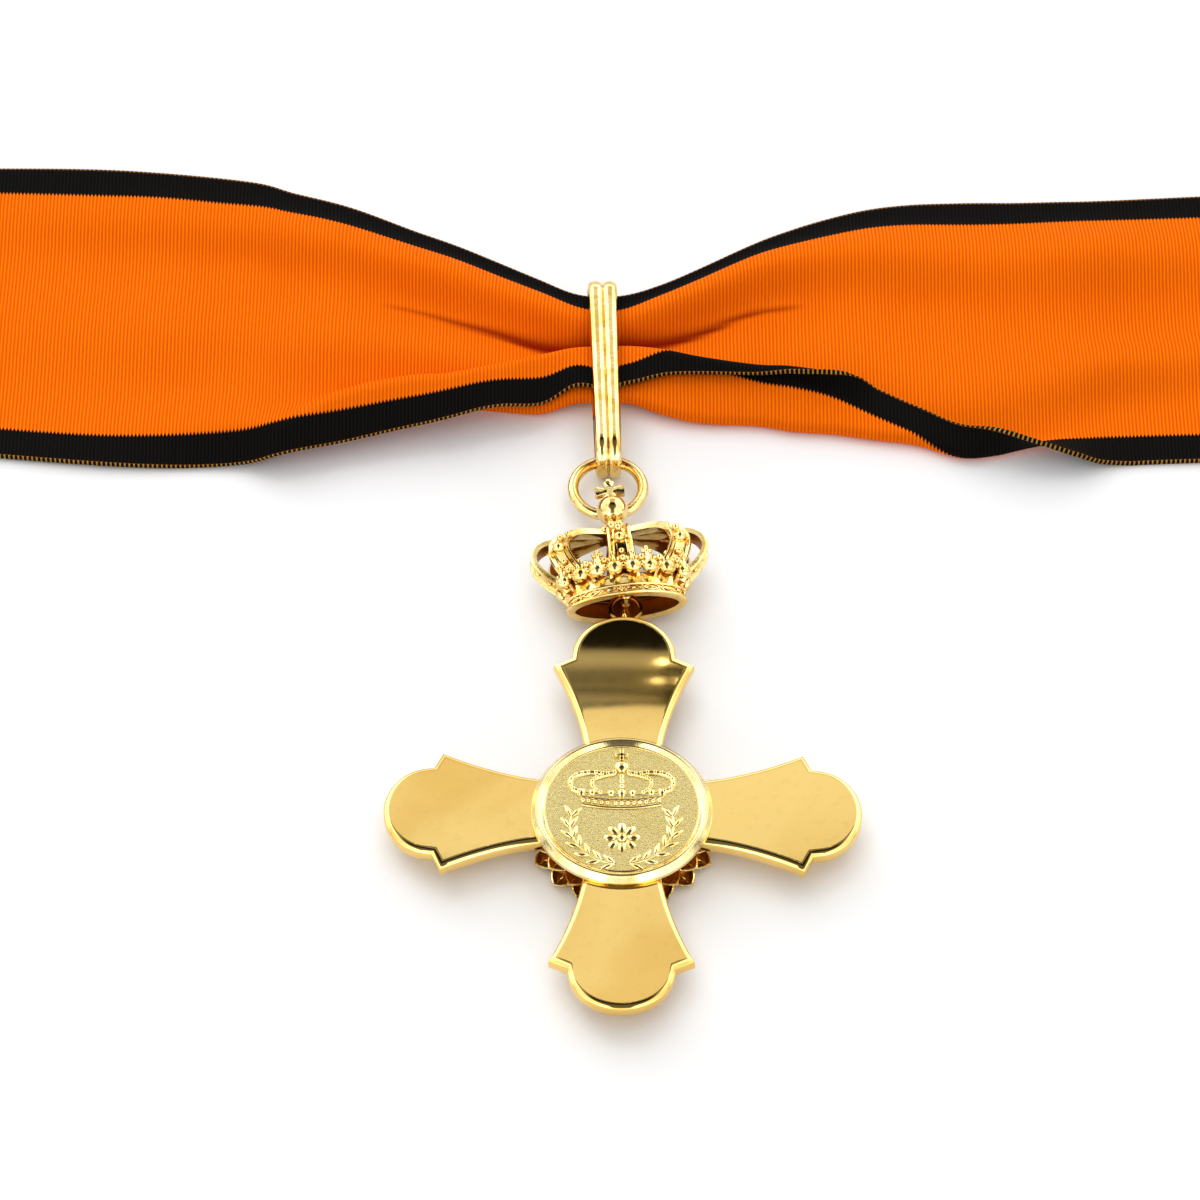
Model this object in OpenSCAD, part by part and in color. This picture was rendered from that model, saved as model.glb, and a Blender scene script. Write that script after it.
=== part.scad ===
// Neck badge of an order: a cross hung from a crown, a ring and a long bail on a neck ribbon.
// Millimetres. The badge lies face down on the floor at Z = 0, X runs along the ribbon.

/* [Cross] */
// Cross from tip to tip
cross_w = 53.3; // [48:0.1:58]
// Cross thickness over its rolled edge
cross_t = 1.8; // [1.6:0.1:3]
// Half width of an arm at its shoulders, share of the arm length
shoulder_half = 0.3; // [0.26:0.01:0.34]
// Half width of an arm at its root, share of the arm length
root_half = 0.155; // [0.14:0.005:0.19]
// Half width of the rounded end of an arm, share of the arm length
lobe_half = 0.222; // [0.2:0.002:0.24]
// Length of the rounded end of an arm, share of the arm length
lobe_len = 0.2; // [0.16:0.01:0.22]
// How the side of an arm flares, 1 is straight
side_flare = 1.8; // [1.2:0.1:2.4]
// Height of the cross above the floor
cross_z = 2.8; // [2:0.1:3.2]
// Turn of the cross on the floor
cross_turn = -0.5; // [-2:0.1:2]

/* [Medallion] */
// Medallion diameter
medal_d = 20.1; // [18:0.1:22]
// Medallion thickness over its rim
medal_t = 1.2; // [1:0.1:2]
// Width of the raised rim
medal_rim = 0.9; // [0.6:0.1:1.4]
// How far the field lies below the rim
field_drop = 0.4; // [0.3:0.05:0.6]
// Height of the relief on the field
relief_h = 0.3; // [0.2:0.05:0.4]

/* [Front ornament] */
// Wreath diameter over the leaf tips
wreath_d = 21.8; // [21:0.2:24]
// Number of leaves round the wreath
leaf_n = 20; // [12:1:24]
// Boss diameter
boss_d = 14; // [10:0.5:15]

/* [Crown] */
// Crown width over the side arches
crown_w = 20.4; // [18:0.2:23]
// Crown width at its base
crown_base_w = 13.5; // [11:0.1:15]
// Depth of the crown's base, share of its width
crown_flat = 0.41; // [0.39:0.01:0.43]
// Depth of the crown over its arches, share of its width
arch_flat = 0.37; // [0.35:0.01:0.39]
// Height of the crown from the base to the arches
crown_h = 10.6; // [10:0.2:11.4]
// Height of the band
band_h = 1.9; // [1.6:0.1:2.2]
// Wall of the band
band_wall = 0.8; // [0.7:0.05:1]
// Number of arches
arch_n = 8; // [6:1:8]
// Width of an arch at its foot
arch_w = 3.6; // [2.6:0.1:3.8]
// Diameter of the orb
orb_d = 3.45; // [3:0.05:4]
// Turn of the crown on the floor
crown_turn = 7; // [5:0.5:9]

/* [Ring and bail] */
// Outside diameter of the suspension ring
ring_d = 9.5; // [9:0.1:10.5]
// Wire of the suspension ring
ring_wire = 1.3; // [1:0.05:1.4]
// Length of the bail
bail_len = 28.8; // [28.6:0.2:31]
// Height of the bail over both strips
bail_h = 6.4; // [6.2:0.1:7]
// Width of the bail at its top
bail_w_top = 3.5; // [3:0.1:4.2]
// Width of the bail at its foot
bail_w_foot = 3; // [2.6:0.1:3.4]
// Thickness of a bail strip
bail_t = 0.9; // [0.7:0.05:0.9]

/* [Ribbon] */
// Ribbon width
ribbon_w = 45; // [43:0.5:46]
// Ribbon wall
ribbon_t = 1; // [0.8:0.05:1]
// Half the width of the laid loop, between the centre lines of its sides
loop_half_x = 106; // [106:1:140]
// Depth of the laid loop, between the centre lines of its runs
loop_deep_y = 85; // [84:1:120]

/* [Hidden] */
half = cross_w / 2;
cross_top = cross_z + cross_t;
play = 0.05;
sides = 30;

// Ends of the sub-assembly on the floor, all seen from the cross centre
tip_y = half;
eye_y = tip_y + 0.9;
crown_y = tip_y + 2.3;
crown_x = 0.6;
crown_z = 4.2;
ring_x = -1.6;
ring_y = 48.2;
ring_z = 2.35;
bail_x = [-1.5, -2.3];
bail_y = 49.93;
bail_z = bail_h / 2 + 0.05;
bail_r = (bail_h - bail_t) / 2;
link_r = 1.72;
arch_step = 0.04;

// Ribbon sections, a row for each place along the front run from left to right.
// x: place along the run, top: how far the upper edge lies above its place in the bail,
// a, m, b: widths of the main layer, the turned layer and the folded-over layer,
// t1, t2: turns at the two folds in degrees, v: place of the valley below the upper edge,
// ca, cb: heights of the crests above and below the valley, up: lift of the whole section,
// edge: further lift of the upper edge, easing down to the valley
// x, top, a, m, b and v are shares of the ribbon width, the last four of the wall.
ribbon_rows = [
    // x,    top,   a,     m,     b,     t1,  t2,  v,     ca,  cb,  up,  edge
    [-1.778, 0.490, 0.760, 0.044, 0.087,   0,   0, 0.333, 1.2, 0.8, 0.0, 1.0],
    [-1.378, 0.462, 0.744, 0.067, 0.087,   6,   8, 0.333, 1.5, 1.0, 0.0, 1.8],
    [-1.022, 0.450, 0.698, 0.111, 0.089,  20,  45, 0.333, 2.0, 1.0, 0.0, 1.0],
    [-0.889, 0.421, 0.721, 0.110, 0.071,  38,  62, 0.333, 2.4, 1.2, 0.0, 0.5],
    [-0.733, 0.368, 0.650, 0.085, 0.115,  62,  88, 0.322, 2.6, 1.4, 0.0, 0.2],
    [-0.556, 0.286, 0.575, 0.070, 0.118,  88, 112, 0.300, 2.8, 1.6, 0.0, 0.0],
    [-0.444, 0.234, 0.549, 0.070, 0.103, 108, 130, 0.289, 2.9, 1.6, 0.0, 0.0],
    [-0.327, 0.169, 0.502, 0.080, 0.103, 138, 156, 0.267, 2.6, 1.4, 0.0, 0.1],
    [-0.213, 0.093, 0.440, 0.110, 0.122, 158, 180, 0.244, 1.6, 0.6, 0.3, 0.5],
    [-0.122, 0.020, 0.345, 0.111, 0.108, 174, 180, 0.200, 0.8, 0.3, 1.1, 1.2],
    [-0.049, 0.000, 0.324, 0.120, 0.129, 180, 180, 0.178, 0.4, 0.0, 1.3, 1.6],
    [ 0.022, 0.012, 0.338, 0.120, 0.110, 178, 180, 0.178, 0.4, 0.2, 1.2, 1.4],
    [ 0.111, 0.068, 0.425, 0.134, 0.062, 168, 180, 0.211, 1.6, 0.5, 0.6, 0.8],
    [ 0.211, 0.143, 0.520, 0.134, 0.033, 164, 180, 0.240, 2.4, 0.8, 0.1, 0.3],
    [ 0.356, 0.238, 0.622, 0.118, 0.012, 162, 180, 0.256, 3.0, 0.8, 0.0, 0.0],
    [ 0.456, 0.288, 0.692, 0.126, 0.010, 164, 150, 0.289, 3.0, 0.8, 0.0, 0.0],
    [ 0.556, 0.329, 0.742, 0.100, 0.020, 168,  90, 0.330, 2.9, 0.9, 0.0, 0.0],
    [ 0.667, 0.364, 0.797, 0.037, 0.045, 172,   0, 0.380, 2.8, 1.0, 0.0, 0.0],
    [ 0.778, 0.382, 0.834, 0.012, 0.029, 172,   0, 0.420, 2.8, 1.2, 0.0, 0.0],
    [ 0.889, 0.388, 0.880, 0.008, 0.010, 160,   0, 0.440, 2.8, 1.6, 0.0, 0.0],
    [ 0.978, 0.390, 0.875, 0.018, 0.019, 100,   0, 0.460, 2.8, 1.6, 0.0, 0.0],
    [ 1.067, 0.390, 0.838, 0.020, 0.020,  30,   0, 0.460, 2.8, 1.6, 0.0, 0.0],
    [ 1.333, 0.399, 0.748, 0.030, 0.059,   0,   0, 0.460, 3.4, 2.4, 0.0, 0.0],
    [ 1.778, 0.427, 0.716, 0.044, 0.087,   0,   0, 0.460, 3.0, 2.0, 0.0, 0.0]
];
// The gathered ribbon lies close under the top of the bail
bail_room = 0.52;
ribbon_top = bail_y + bail_len - bail_t - bail_room;
layer_gap = 0.3;
fold_r = (ribbon_t + layer_gap) / 2;
fold_len = PI * fold_r;
cols_a = 7;
cols_m = 2;
cols_b = 2;
cols_fold = 3;
row_steps = 2;
turn_steps = 4;

gold = [0.86, 0.66, 0.26];
pale_gold = [0.88, 0.78, 0.48];
orange = [1, 0.42, 0.05];

// Walls of rings of points, each ring as long as the next; closed joins the last to the first
function wall_faces(rings, n, closed) = [
    for (i = [0 : rings - (closed ? 1 : 2)])
        for (j = [0 : n - 1])
            let (k = (i + 1) % rings, l = (j + 1) % n)
                each [[i * n + j, k * n + l, i * n + l], [i * n + j, k * n + j, k * n + l]]
];

// A solid skinned over rings that go up or forward, with a centre point in each cap, which
// stands out by a share of the way from the next ring
module skin(rings, out = 0) {
    n = len(rings[0]);
    last = len(rings) - 1;
    low = (last + 1) * n;
    middle = [
        for (e = [[rings[0], rings[1]], [rings[last], rings[last - 1]]])
            (1 + out) * middle_of(e[0]) - out * middle_of(e[1])
    ];
    caps = [
        for (j = [0 : n - 1])
            let (l = (j + 1) % n)
                each [[low, j, l], [low + 1, last * n + l, last * n + j]]
    ];
    polyhedron(
        [each [for (r = rings) each r], each middle],
        [each wall_faces(last + 1, n, false), each caps]
    );
}

function total(v, i = 0) = i >= len(v) ? 0 : v[i] + total(v, i + 1);
function mean(v) = total(v) / len(v);
function middle_of(ring) = [for (k = [0 : 2]) mean([for (p = ring) p[k]])];
function unit(v) = v / norm(v);

// Cross

// Half of one arm, from its root to the tip
function arm_side() =
    let (
        root = [0.226, root_half],
        shoulder = [0.758, shoulder_half],
        notch = [0.793, lobe_half + 0.002],
        lobe_end = 78
    )
    [
        for (s = [0 : 1 / 6 : 1])
            [root[0] + (shoulder[0] - root[0]) * s,
             root[1] + (shoulder[1] - root[1]) * pow(s, side_flare)],
        notch,
        for (t = [lobe_end : -lobe_end / 6 : 1])
            [1 - lobe_len + lobe_len * cos(t), lobe_half * sin(t)]
    ];

function cross_outline() =
    let (side = arm_side(), n = len(side))
    [
        for (q = [0 : 3])
            for (i = [-n : n])
                let (
                    p = i == 0 ? [1, 0] : i < 0 ? [side[i + n][0], -side[i + n][1]] : side[n - i],
                    c = cos(90 * q),
                    s = sin(90 * q)
                )
                half * [p[0] * c - p[1] * s, p[0] * s + p[1] * c]
    ];

// Outline moved in by d along its normals
function inset(pts, d) =
    let (n = len(pts))
    [
        for (i = [0 : n - 1])
            let (
                t = unit(unit(pts[(i + 1) % n] - pts[i]) + unit(pts[i] - pts[(i + n - 1) % n]))
            )
            pts[i] + d * [-t[1], t[0]]
    ];

module cross() {
    // Share of the thickness and inset of each step of the rolled edge
    edge = [[0, 0.35], [0.14, 0], [0.6, 0], [0.82, 0.12], [0.95, 0.4], [1, 0.9]];
    outline = cross_outline();
    color(gold) rotate(cross_turn) {
        skin([
            for (e = edge)
                [for (p = inset(outline, e[1])) [p[0], p[1], cross_z + cross_t * e[0]]]
        ]);
        translate([0, eye_y, cross_z + cross_t / 2])
            rotate([0, 90, 0])
                eye(0.85, 0.35);
    }
}

// A small ring about Z
module eye(r, wire) {
    rotate_extrude($fn = 24)
        translate([r, 0])
            circle(wire, $fn = 14);
}

// Medallion on the back of the cross

module back_medallion() {
    r = medal_d / 2;
    field = medal_t - field_drop;
    color(pale_gold)
        translate([-0.1, -0.4, cross_top + play]) {
            rotate_extrude($fn = 72)
                polygon([
                    [0, 0],
                    [r, 0],
                    [r, medal_t * 0.35],
                    [r - medal_rim * 0.25, medal_t * 0.85],
                    [r - medal_rim * 0.55, medal_t],
                    [r - medal_rim * 0.8, medal_t * 0.9],
                    [r - medal_rim, field],
                    [0, field]
                ]);
            translate([0, 0, field - play])
                linear_extrude(relief_h + play) {
                    translate([0, 0.7])
                        crown_relief();
                    translate([0, -3.2])
                        rosette_relief();
                    for (m = [-1, 1])
                        spray_relief(m);
                }
        }
}

// Plain crown: band, five arches in outline, orb
module crown_relief() {
    base = 4.2;
    wide = 5.8;
    polygon([
        [-base, 0], [base, 0], [base + 0.4, 1.3], [wide, 2.6], [wide - 0.1, 3.9], [wide - 1.3, 4.8],
        [1, 5.2], [-1, 5.2], [-wide + 1.3, 4.8], [-wide + 0.1, 3.9], [-wide, 2.6],
        [-base - 0.4, 1.3]
    ]);
    translate([0, 5.8])
        rotate(11)
            circle(0.8, $fn = 12);
}

module rosette_relief() {
    petal = 0.95;
    for (a = [0 : 45 : 315])
        rotate(a)
            translate([1.35, 0])
                circle(petal, $fn = 12);
    circle(1.3, $fn = 12);
}

// One laurel spray, leaves in pairs along an arc
module spray_relief(side) {
    spray_r = 5.6;
    for (k = [0 : 5])
        let (a = -84 + 17 * k)
            scale([side, 1])
                translate([spray_r * cos(a), -1.4 + spray_r * sin(a)])
                    for (lean = [-32, 32])
                        rotate(a + 90 + lean)
                            polygon([[-0.25, 0], [0.75, 0.34], [1.6, 0], [0.75, -0.34]]);
}

// Ornament on the front of the cross, under it here

module front_wreath() {
    tip = wreath_d / 2;
    leaf = 1.9;
    color(gold)
        translate([0, 0, 0.3])
            linear_extrude(cross_z - 0.3 - play)
                difference() {
                    union() {
                        circle(tip - leaf, $fn = 60);
                        for (k = [0 : leaf_n - 1])
                            rotate(360 / leaf_n * (k + 0.5))
                                translate([tip - leaf, 0])
                                    polygon([
                                        [-0.6, -leaf * 0.8], [leaf * 0.3, -leaf * 0.62],
                                        [leaf * 0.75, -leaf * 0.3], [leaf, 0],
                                        [leaf * 0.75, leaf * 0.3], [leaf * 0.3, leaf * 0.62],
                                        [-0.6, leaf * 0.8]
                                    ]);
                    }
                    circle(boss_d / 2 + 0.1, $fn = 60);
                }
}

module front_boss() {
    r = boss_d / 2;
    color(gold)
        rotate_extrude($fn = 60)
            polygon([[0, 0], [r - 1, 0], [r - 0.3, 0.25], [r, 0.8], [r, cross_z - play],
                [0, cross_z - play]]);
}

// Crown

// Places along an arch: share of the half width of the crown, share of its height
arch_path = [[0.668, 0.102], [0.83, 0.33], [0.96, 0.52], [1, 0.68], [0.93, 0.84], [0.76, 0.92],
    [0.42, 0.96], [0.1, 0.98]];

module crown() {
    color(gold)
        translate([crown_x, crown_y, crown_z])
            rotate([0, 0, crown_turn])
                rotate([2 - 90, 0, 0])
                    crown_upright();
}

// The crown standing on its base: X across, Y to the back (down on the floor), Z up
module crown_upright() {
    crown_band();
    for (k = [0 : arch_n - 1])
        crown_arch(360 / arch_n * k, arch_step * (3 * k % arch_n));
    for (k = [0 : arch_n - 1]) {
        crown_leaf(360 / arch_n * k);
        crown_pearl(360 / arch_n * (k + 0.5));
    }
    crown_top();
    // Pin across the hollow that the link hangs on
    translate([0, 0, 1.27])
        rotate([90, 16, 0])
            cylinder(r = 0.4, h = crown_base_w * crown_flat - band_wall, center = true, $fn = 9);
}

// Point on the oval of half width r, at an angle from X
function oval(r, a, flat = crown_flat) = [r * cos(a), r * flat * sin(a)];

// A round grain, turned so that its corners meet no edge of its neighbours
module grain(p, r, n = 8) {
    translate(p)
        rotate([7, 32, 59])
            sphere(r, $fn = n);
}

module crown_band() {
    r = crown_base_w / 2;
    hole = r - band_wall;
    hole_flat = (r * crown_flat - band_wall) / hole;
    difference() {
        scale([1, crown_flat, 1])
            rotate_extrude($fn = sides)
                polygon([[0, 0], [r - 0.1, 0], [r + 0.15, 0.3], [r - 0.15, 0.6], [r + 0.1, 1.5],
                    [r + 0.35, 1.7], [r + 0.2, band_h], [0, band_h]]);
        translate([0, 0, -1])
            scale([1, hole_flat, 1])
                rotate([0, 0, 4.4])
                    cylinder(r = hole, h = band_h + 2, $fn = sides - 2);
    }
    // Ovals round the band
    ovals = 12;
    for (k = [0 : ovals - 1]) {
        place = oval(r - 0.13, 360 / ovals * (k + 0.40));
        translate([place[0], place[1], 1.06])
            rotate([0, 0, 360 / ovals * k + 2])
                scale([0.47, 1.05, 0.34])
                    rotate([16, 17, 37])
                        sphere(1, $fn = 6);
    }
}

// One arch: a channel with raised sides and a row of beads, its top end lower by a step
module crown_arch(a, low) {
    half_w = crown_w / 2 - 0.3;
    last = len(arch_path) - 1;
    across = unit([-sin(a) * arch_flat, cos(a)]);
    skin([
        for (i = [0 : last])
            let (
                s = arch_path[i],
                prev = arch_path[max(i - 1, 0)],
                next = arch_path[min(i + 1, last)],
                o = oval(half_w * s[0], a, i == 0 ? crown_flat : arch_flat),
                dir = unit([(next[0] - prev[0]) * half_w, (next[1] - prev[1]) * crown_h]),
                w = arch_w / 2 * (1 - 0.45 * i / last) * (0.75 + 0.25 * abs(sin(a))),
                out = unit([cos(a), arch_flat * sin(a)])
            )
            [
                for (q = [[-1, -0.35], [-0.96, 0.32], [-0.6, 0], [0.03, 0.1], [0.6, 0.02],
                          [0.96, 0.3], [1, -0.36], [0.05, -0.44]])
                    let (k = w * q[0], lift = q[1])
                    [
                        o[0] + across[0] * k + out[0] * dir[1] * lift,
                        o[1] + across[1] * k + out[1] * dir[1] * lift,
                        crown_h * s[1] - dir[0] * lift - low * i / last
                    ]
            ]
    ], 0.15);
    // Place on the path, bead radius, how far it stands outward and upward
    for (bead = [[3, 0.65, 0.13, 0.03], [4, 0.46, 0.12, 0.15], [5, 0.4, 0.03, 0.26]]) {
        s = arch_path[bead[0]];
        o = oval(half_w * s[0] + bead[2], a, arch_flat);
        grain([o[0], o[1], crown_h * s[1] + bead[3] - low * bead[0] / last], bead[1], 6);
    }
}

// A broad leaf in front of the foot of an arch
module crown_leaf(a) {
    foot = oval(crown_base_w / 2 + 0.12, a);
    head = oval(crown_base_w / 2 + 1.48, a);
    hull() {
        grain([foot[0], foot[1], band_h + 0.31], 0.5, 6);
        grain([head[0], head[1], band_h + 1.62], 0.83, 6);
    }
}

// A pearl on a stalk between two arches
module crown_pearl(a) {
    foot = oval(crown_base_w / 2 + 0.12, a);
    head = oval(crown_base_w / 2 + 1.13, a);
    hull() {
        grain([foot[0], foot[1], band_h], 0.62, 5);
        grain([head[0], head[1], band_h + 1.83], 0.33, 5);
    }
    grain([head[0], head[1], band_h + 2.41], 0.52, 6);
}

// Rosette where the arches meet, orb, small cross and the eye for the ring
module crown_top() {
    orb_z = crown_h + 3.3;
    top_z = orb_z + orb_d / 2;
    translate([0, 0, crown_h - 0.1])
        scale([1, 0.8, 0.55])
            rotate([0, 0, 5])
                sphere(1.9, $fn = 10);
    for (k = [0 : 5])
        grain([1.55 * cos(60 * k + 9), 1.27 * sin(60 * k + 9), crown_h + 0.43], 0.44, 6);
    translate([0, 0, crown_h - 0.6])
        rotate([0, 0, 13])
            cylinder(r1 = 1.3, r2 = 0.9, h = orb_z - crown_h, $fn = 10);
    translate([0, -0.2, orb_z])
        rotate([0, 0, 4])
            sphere(orb_d / 2, $fn = 16);
    // Small cross with flared arms
    for (arm = [[0, 0.97], [1, 1.58], [-1, 1.61]])
        translate([0, -0.3, top_z + 0.92])
            rotate([0, 90 * arm[0], 0.8])
                hull() {
                    cylinder(r = 0.35, h = 0.4, $fn = 7);
                    translate([0, 0, arm[1]])
                        cube([1.3, 0.9, 0.2], center = true);
                }
    translate([0, -0.3, top_z - 0.3])
        rotate([0, 0, 17])
            cylinder(r1 = 0.8, r2 = 0.35, h = 1.2, $fn = 8);
    grain([0, -0.3, top_z + 2.33], 0.43);
    // Eye behind the orb, its hole across the crown
    translate([0, 2.35, orb_z + 1.28])
        rotate([0, 90, 0])
            rotate([0, 0, 6])
                rotate_extrude($fn = 14)
                    translate([1.35, 0])
                        circle(0.5, $fn = 7);
    hull() {
        translate([0, 0.9, orb_z - 1.6])
            cube([1.2, 0.6, 0.8], center = true);
        translate([0, 1.85, orb_z - 0.55])
            cube([0.83, 0.8, 0.6], center = true);
    }
}

// Ring, link and bail

module crown_link() {
    color(gold)
        translate([0.4, eye_y + link_r - 0.04, cross_z + cross_t / 2])
            eye(link_r, 0.28);
}

module suspension_ring() {
    color(gold)
        translate([ring_x, ring_y, ring_z])
            rotate_extrude($fn = 72)
                translate([(ring_d - ring_wire) / 2, 0])
                    circle(ring_wire / 2, $fn = 24);
}

// A strip with two half-round ribs, bent into a long loop and narrower at its foot
module ribbon_bail() {
    run = bail_len - bail_h;
    steps = 8;
    rib = bail_t * 0.55;
    stations = [
        for (k = [0 : steps]) [bail_y + bail_h / 2, 180 + 180 * k / steps],
        for (k = [0 : steps]) [bail_y + bail_h / 2 + run, 180 * k / steps]
    ];
    rings = [
        for (s = stations)
            let (
                y = s[0] + bail_r * sin(s[1]),
                f = (y - bail_y) / bail_len,
                w = bail_w_foot + (bail_w_top - bail_w_foot) * f,
                x = bail_x[0] + (bail_x[1] - bail_x[0]) * f
            )
            [
                for (q = concat(
                    [[0.5, -bail_t / 2], [-0.5, -bail_t / 2]],
                    [for (c = [-0.25, 0.25]) for (t = [180 : -45 : (c > 0 ? 0 : 45)])
                        [c + 0.25 * cos(t), rib * sin(t)]]
                ))
                    [
                        x + w * q[0],
                        s[0] + (bail_r + q[1]) * sin(s[1]),
                        bail_z + (bail_r + q[1]) * cos(s[1])
                    ]
            ]
    ];
    n = len(rings[0]);
    color(gold)
        polyhedron([for (r = rings) each r], wall_faces(len(rings), n, true));
}

// Ribbon

// Smooth value between four rows, f from 0 to 1 between the middle two
function between(p, q, r, s, f) =
    q + 0.5 * f * (r - p + f * (2 * p - 5 * q + 4 * r - s + f * (3 * (q - r) + s - p)));

function stations() = [
    for (i = [0 : len(ribbon_rows) - 2])
        for (k = [0 : row_steps - 1])
            between(ribbon_rows[max(i - 1, 0)], ribbon_rows[i], ribbon_rows[i + 1],
                ribbon_rows[min(i + 2, len(ribbon_rows) - 1)], k / row_steps),
    ribbon_rows[len(ribbon_rows) - 1]
];

// Place after a bend of the fold length, from heading p to heading q, a share f of the way.
// Heading 0 runs towards the viewer and 90 straight up.
function bend(p, q, f) =
    let (h = p + (q - p) * f, mid = (p + h) / 2, sweep = abs(h - p))
    fold_len * f * (sweep < 1 ? 1 : sin(sweep / 2) / (sweep / 2 * PI / 180))
        * [-cos(mid), sin(mid)];

function step_to(h, d) = d * [-cos(h), sin(h)];

// One section across the ribbon, from its upper edge to its lower edge
function section(row) =
    let (
        w = ribbon_w,
        a = row[2] * w,
        m = row[3] * w,
        b = row[4] * w,
        h1 = max(row[5], 0),
        h2 = h1 - max(row[6], 0),
        v = row[7] * w,
        floor_z = ribbon_t * (0.5 + row[10]) + 0.01,
        start = [ribbon_top + row[1] * w, floor_z],
        p1 = start + [-a, 0],
        p2 = p1 + bend(0, h1, 1),
        p3 = p2 + step_to(h1, m),
        p4 = p3 + bend(h1, h2, 1)
    )
    [
        for (i = [0 : cols_a])
            let (
                t = a * i / cols_a,
                crest = t < v ? row[8] * pow(sin(180 * t / v), 2) + row[11] * pow(cos(90 * t / v), 2)
                    : row[9] * pow(sin(180 * (t - v) / (a - v)), 2)
            )
            start + [-t, ribbon_t * crest],
        for (i = [1 : cols_fold]) p1 + bend(0, h1, i / cols_fold),
        for (i = [1 : cols_m]) p2 + step_to(h1, m * i / cols_m),
        for (i = [1 : cols_fold]) p3 + bend(h1, h2, i / cols_fold),
        for (i = [1 : cols_b]) p4 + step_to(h2, b * i / cols_b)
    ];

function front_run() = [
    for (row = stations())
        [for (p = section(row)) [row[0] * ribbon_w, p[0], p[1]]]
];

// A straight row between two edge points, with the columns where the end of the run has them
function straight_row(from, to, shares) = [for (s = shares) from + (to - from) * s];

// Rows round one side of the loop: two corners, each folded over at 45 degrees
function side_run(sgn, front_y, back_y, shares) =
    let (
        h = ribbon_w / 2,
        low = ribbon_t / 2,
        high = low + 2 * fold_r,
        x = loop_half_x,
        clear = 3,
        n = 1 / sqrt(2)
    )
    [
        for (k = [0 : turn_steps])
            let (
                t = 180 * k / turn_steps,
                d = fold_r * sin(t) * n,
                z = low + fold_r * (1 - cos(t))
            )
            straight_row([sgn * (x + h + d), front_y + h - d, z],
                [sgn * (x - h + d), front_y - h - d, z], shares),
        for (y = [front_y + h + clear, back_y - h - clear])
            straight_row([sgn * (x + h), y, high], [sgn * (x - h), y, high], shares),
        for (k = [0 : turn_steps])
            let (
                t = 180 * k / turn_steps,
                d = fold_r * sin(t) * n,
                z = high - fold_r * (1 - cos(t))
            )
            straight_row([sgn * (x + h + d), back_y - h + d, z],
                [sgn * (x - h + d), back_y + h + d, z], shares),
        straight_row([sgn * (x - h - clear), back_y - h, low],
            [sgn * (x - h - clear), back_y + h, low], shares)
    ];

function reversed(v) = [for (i = [len(v) - 1 : -1 : 0]) v[i]];

module ribbon() {
    front = front_run();
    last = len(front) - 1;
    cols = len(front[0]);
    tail = front[last];
    shares = [for (p = tail) (tail[0][1] - p[1]) / (tail[0][1] - tail[cols - 1][1])];
    ends = [for (r = [front[0], tail]) (r[0][1] + r[cols - 1][1]) / 2];
    back_y = mean(ends) + loop_deep_y;
    right = side_run(1, ends[1], back_y, shares);
    left = side_run(-1, ends[0], back_y, shares);
    rows = [each front, each right, each reversed(left)];
    n = len(rows);
    // Each row becomes a closed ring: the upper face one way, the lower face back
    rings = [
        for (i = [0 : n - 1])
            let (
                offs = [
                    for (j = [0 : cols - 1])
                        let (
                            along = rows[(i + 1) % n][j] - rows[(i + n - 1) % n][j],
                            across = rows[i][min(j + 1, cols - 1)] - rows[i][max(j - 1, 0)]
                        )
                        ribbon_t / 2 * unit(cross_product(across, along))
                ]
            )
            [
                for (j = [0 : cols - 1]) rows[i][j] + offs[j],
                for (j = [cols - 1 : -1 : 0]) rows[i][j] - offs[j]
            ]
    ];
    color(orange)
        polyhedron([for (r = rings) each r], wall_faces(n, 2 * cols, true));
}

function cross_product(p, q) = [
    p[1] * q[2] - p[2] * q[1],
    p[2] * q[0] - p[0] * q[2],
    p[0] * q[1] - p[1] * q[0]
];

ribbon();
ribbon_bail();
suspension_ring();
crown();
crown_link();
cross();
back_medallion();
front_wreath();
front_boss();
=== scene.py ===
import bpy
import math
from mathutils import Matrix, Vector


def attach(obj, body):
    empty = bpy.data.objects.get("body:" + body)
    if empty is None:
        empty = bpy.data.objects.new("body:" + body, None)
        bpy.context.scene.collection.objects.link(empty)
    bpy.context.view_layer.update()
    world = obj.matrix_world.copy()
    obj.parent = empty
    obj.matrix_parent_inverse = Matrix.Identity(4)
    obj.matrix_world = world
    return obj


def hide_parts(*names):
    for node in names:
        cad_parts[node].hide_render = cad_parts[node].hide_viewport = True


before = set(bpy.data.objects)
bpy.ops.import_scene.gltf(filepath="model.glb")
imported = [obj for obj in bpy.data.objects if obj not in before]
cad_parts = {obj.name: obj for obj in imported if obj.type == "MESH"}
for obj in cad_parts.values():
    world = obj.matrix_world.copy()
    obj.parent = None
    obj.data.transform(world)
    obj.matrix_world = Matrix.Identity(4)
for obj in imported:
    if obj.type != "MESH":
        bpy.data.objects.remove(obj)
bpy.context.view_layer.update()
upright, sideways = Vector((0, 0, 1)), Vector((1, 0, 0))
print("frame loaded")

# Pieces are shaped at one unit to the millimetre and brought to metres when they are finished.


def clearPick():
    if bpy.context.object and bpy.context.object.mode != "OBJECT":
        bpy.ops.object.mode_set(mode="OBJECT")
    bpy.ops.object.select_all(action="DESELECT")


def pick(*objs):
    clearPick()
    for obj in objs:
        obj.select_set(True)
    bpy.context.view_layer.objects.active = objs[0]


def named(name):  # the object that an operator has just made
    obj = bpy.context.object
    obj.name = name
    obj.data.name = name
    return obj


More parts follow.
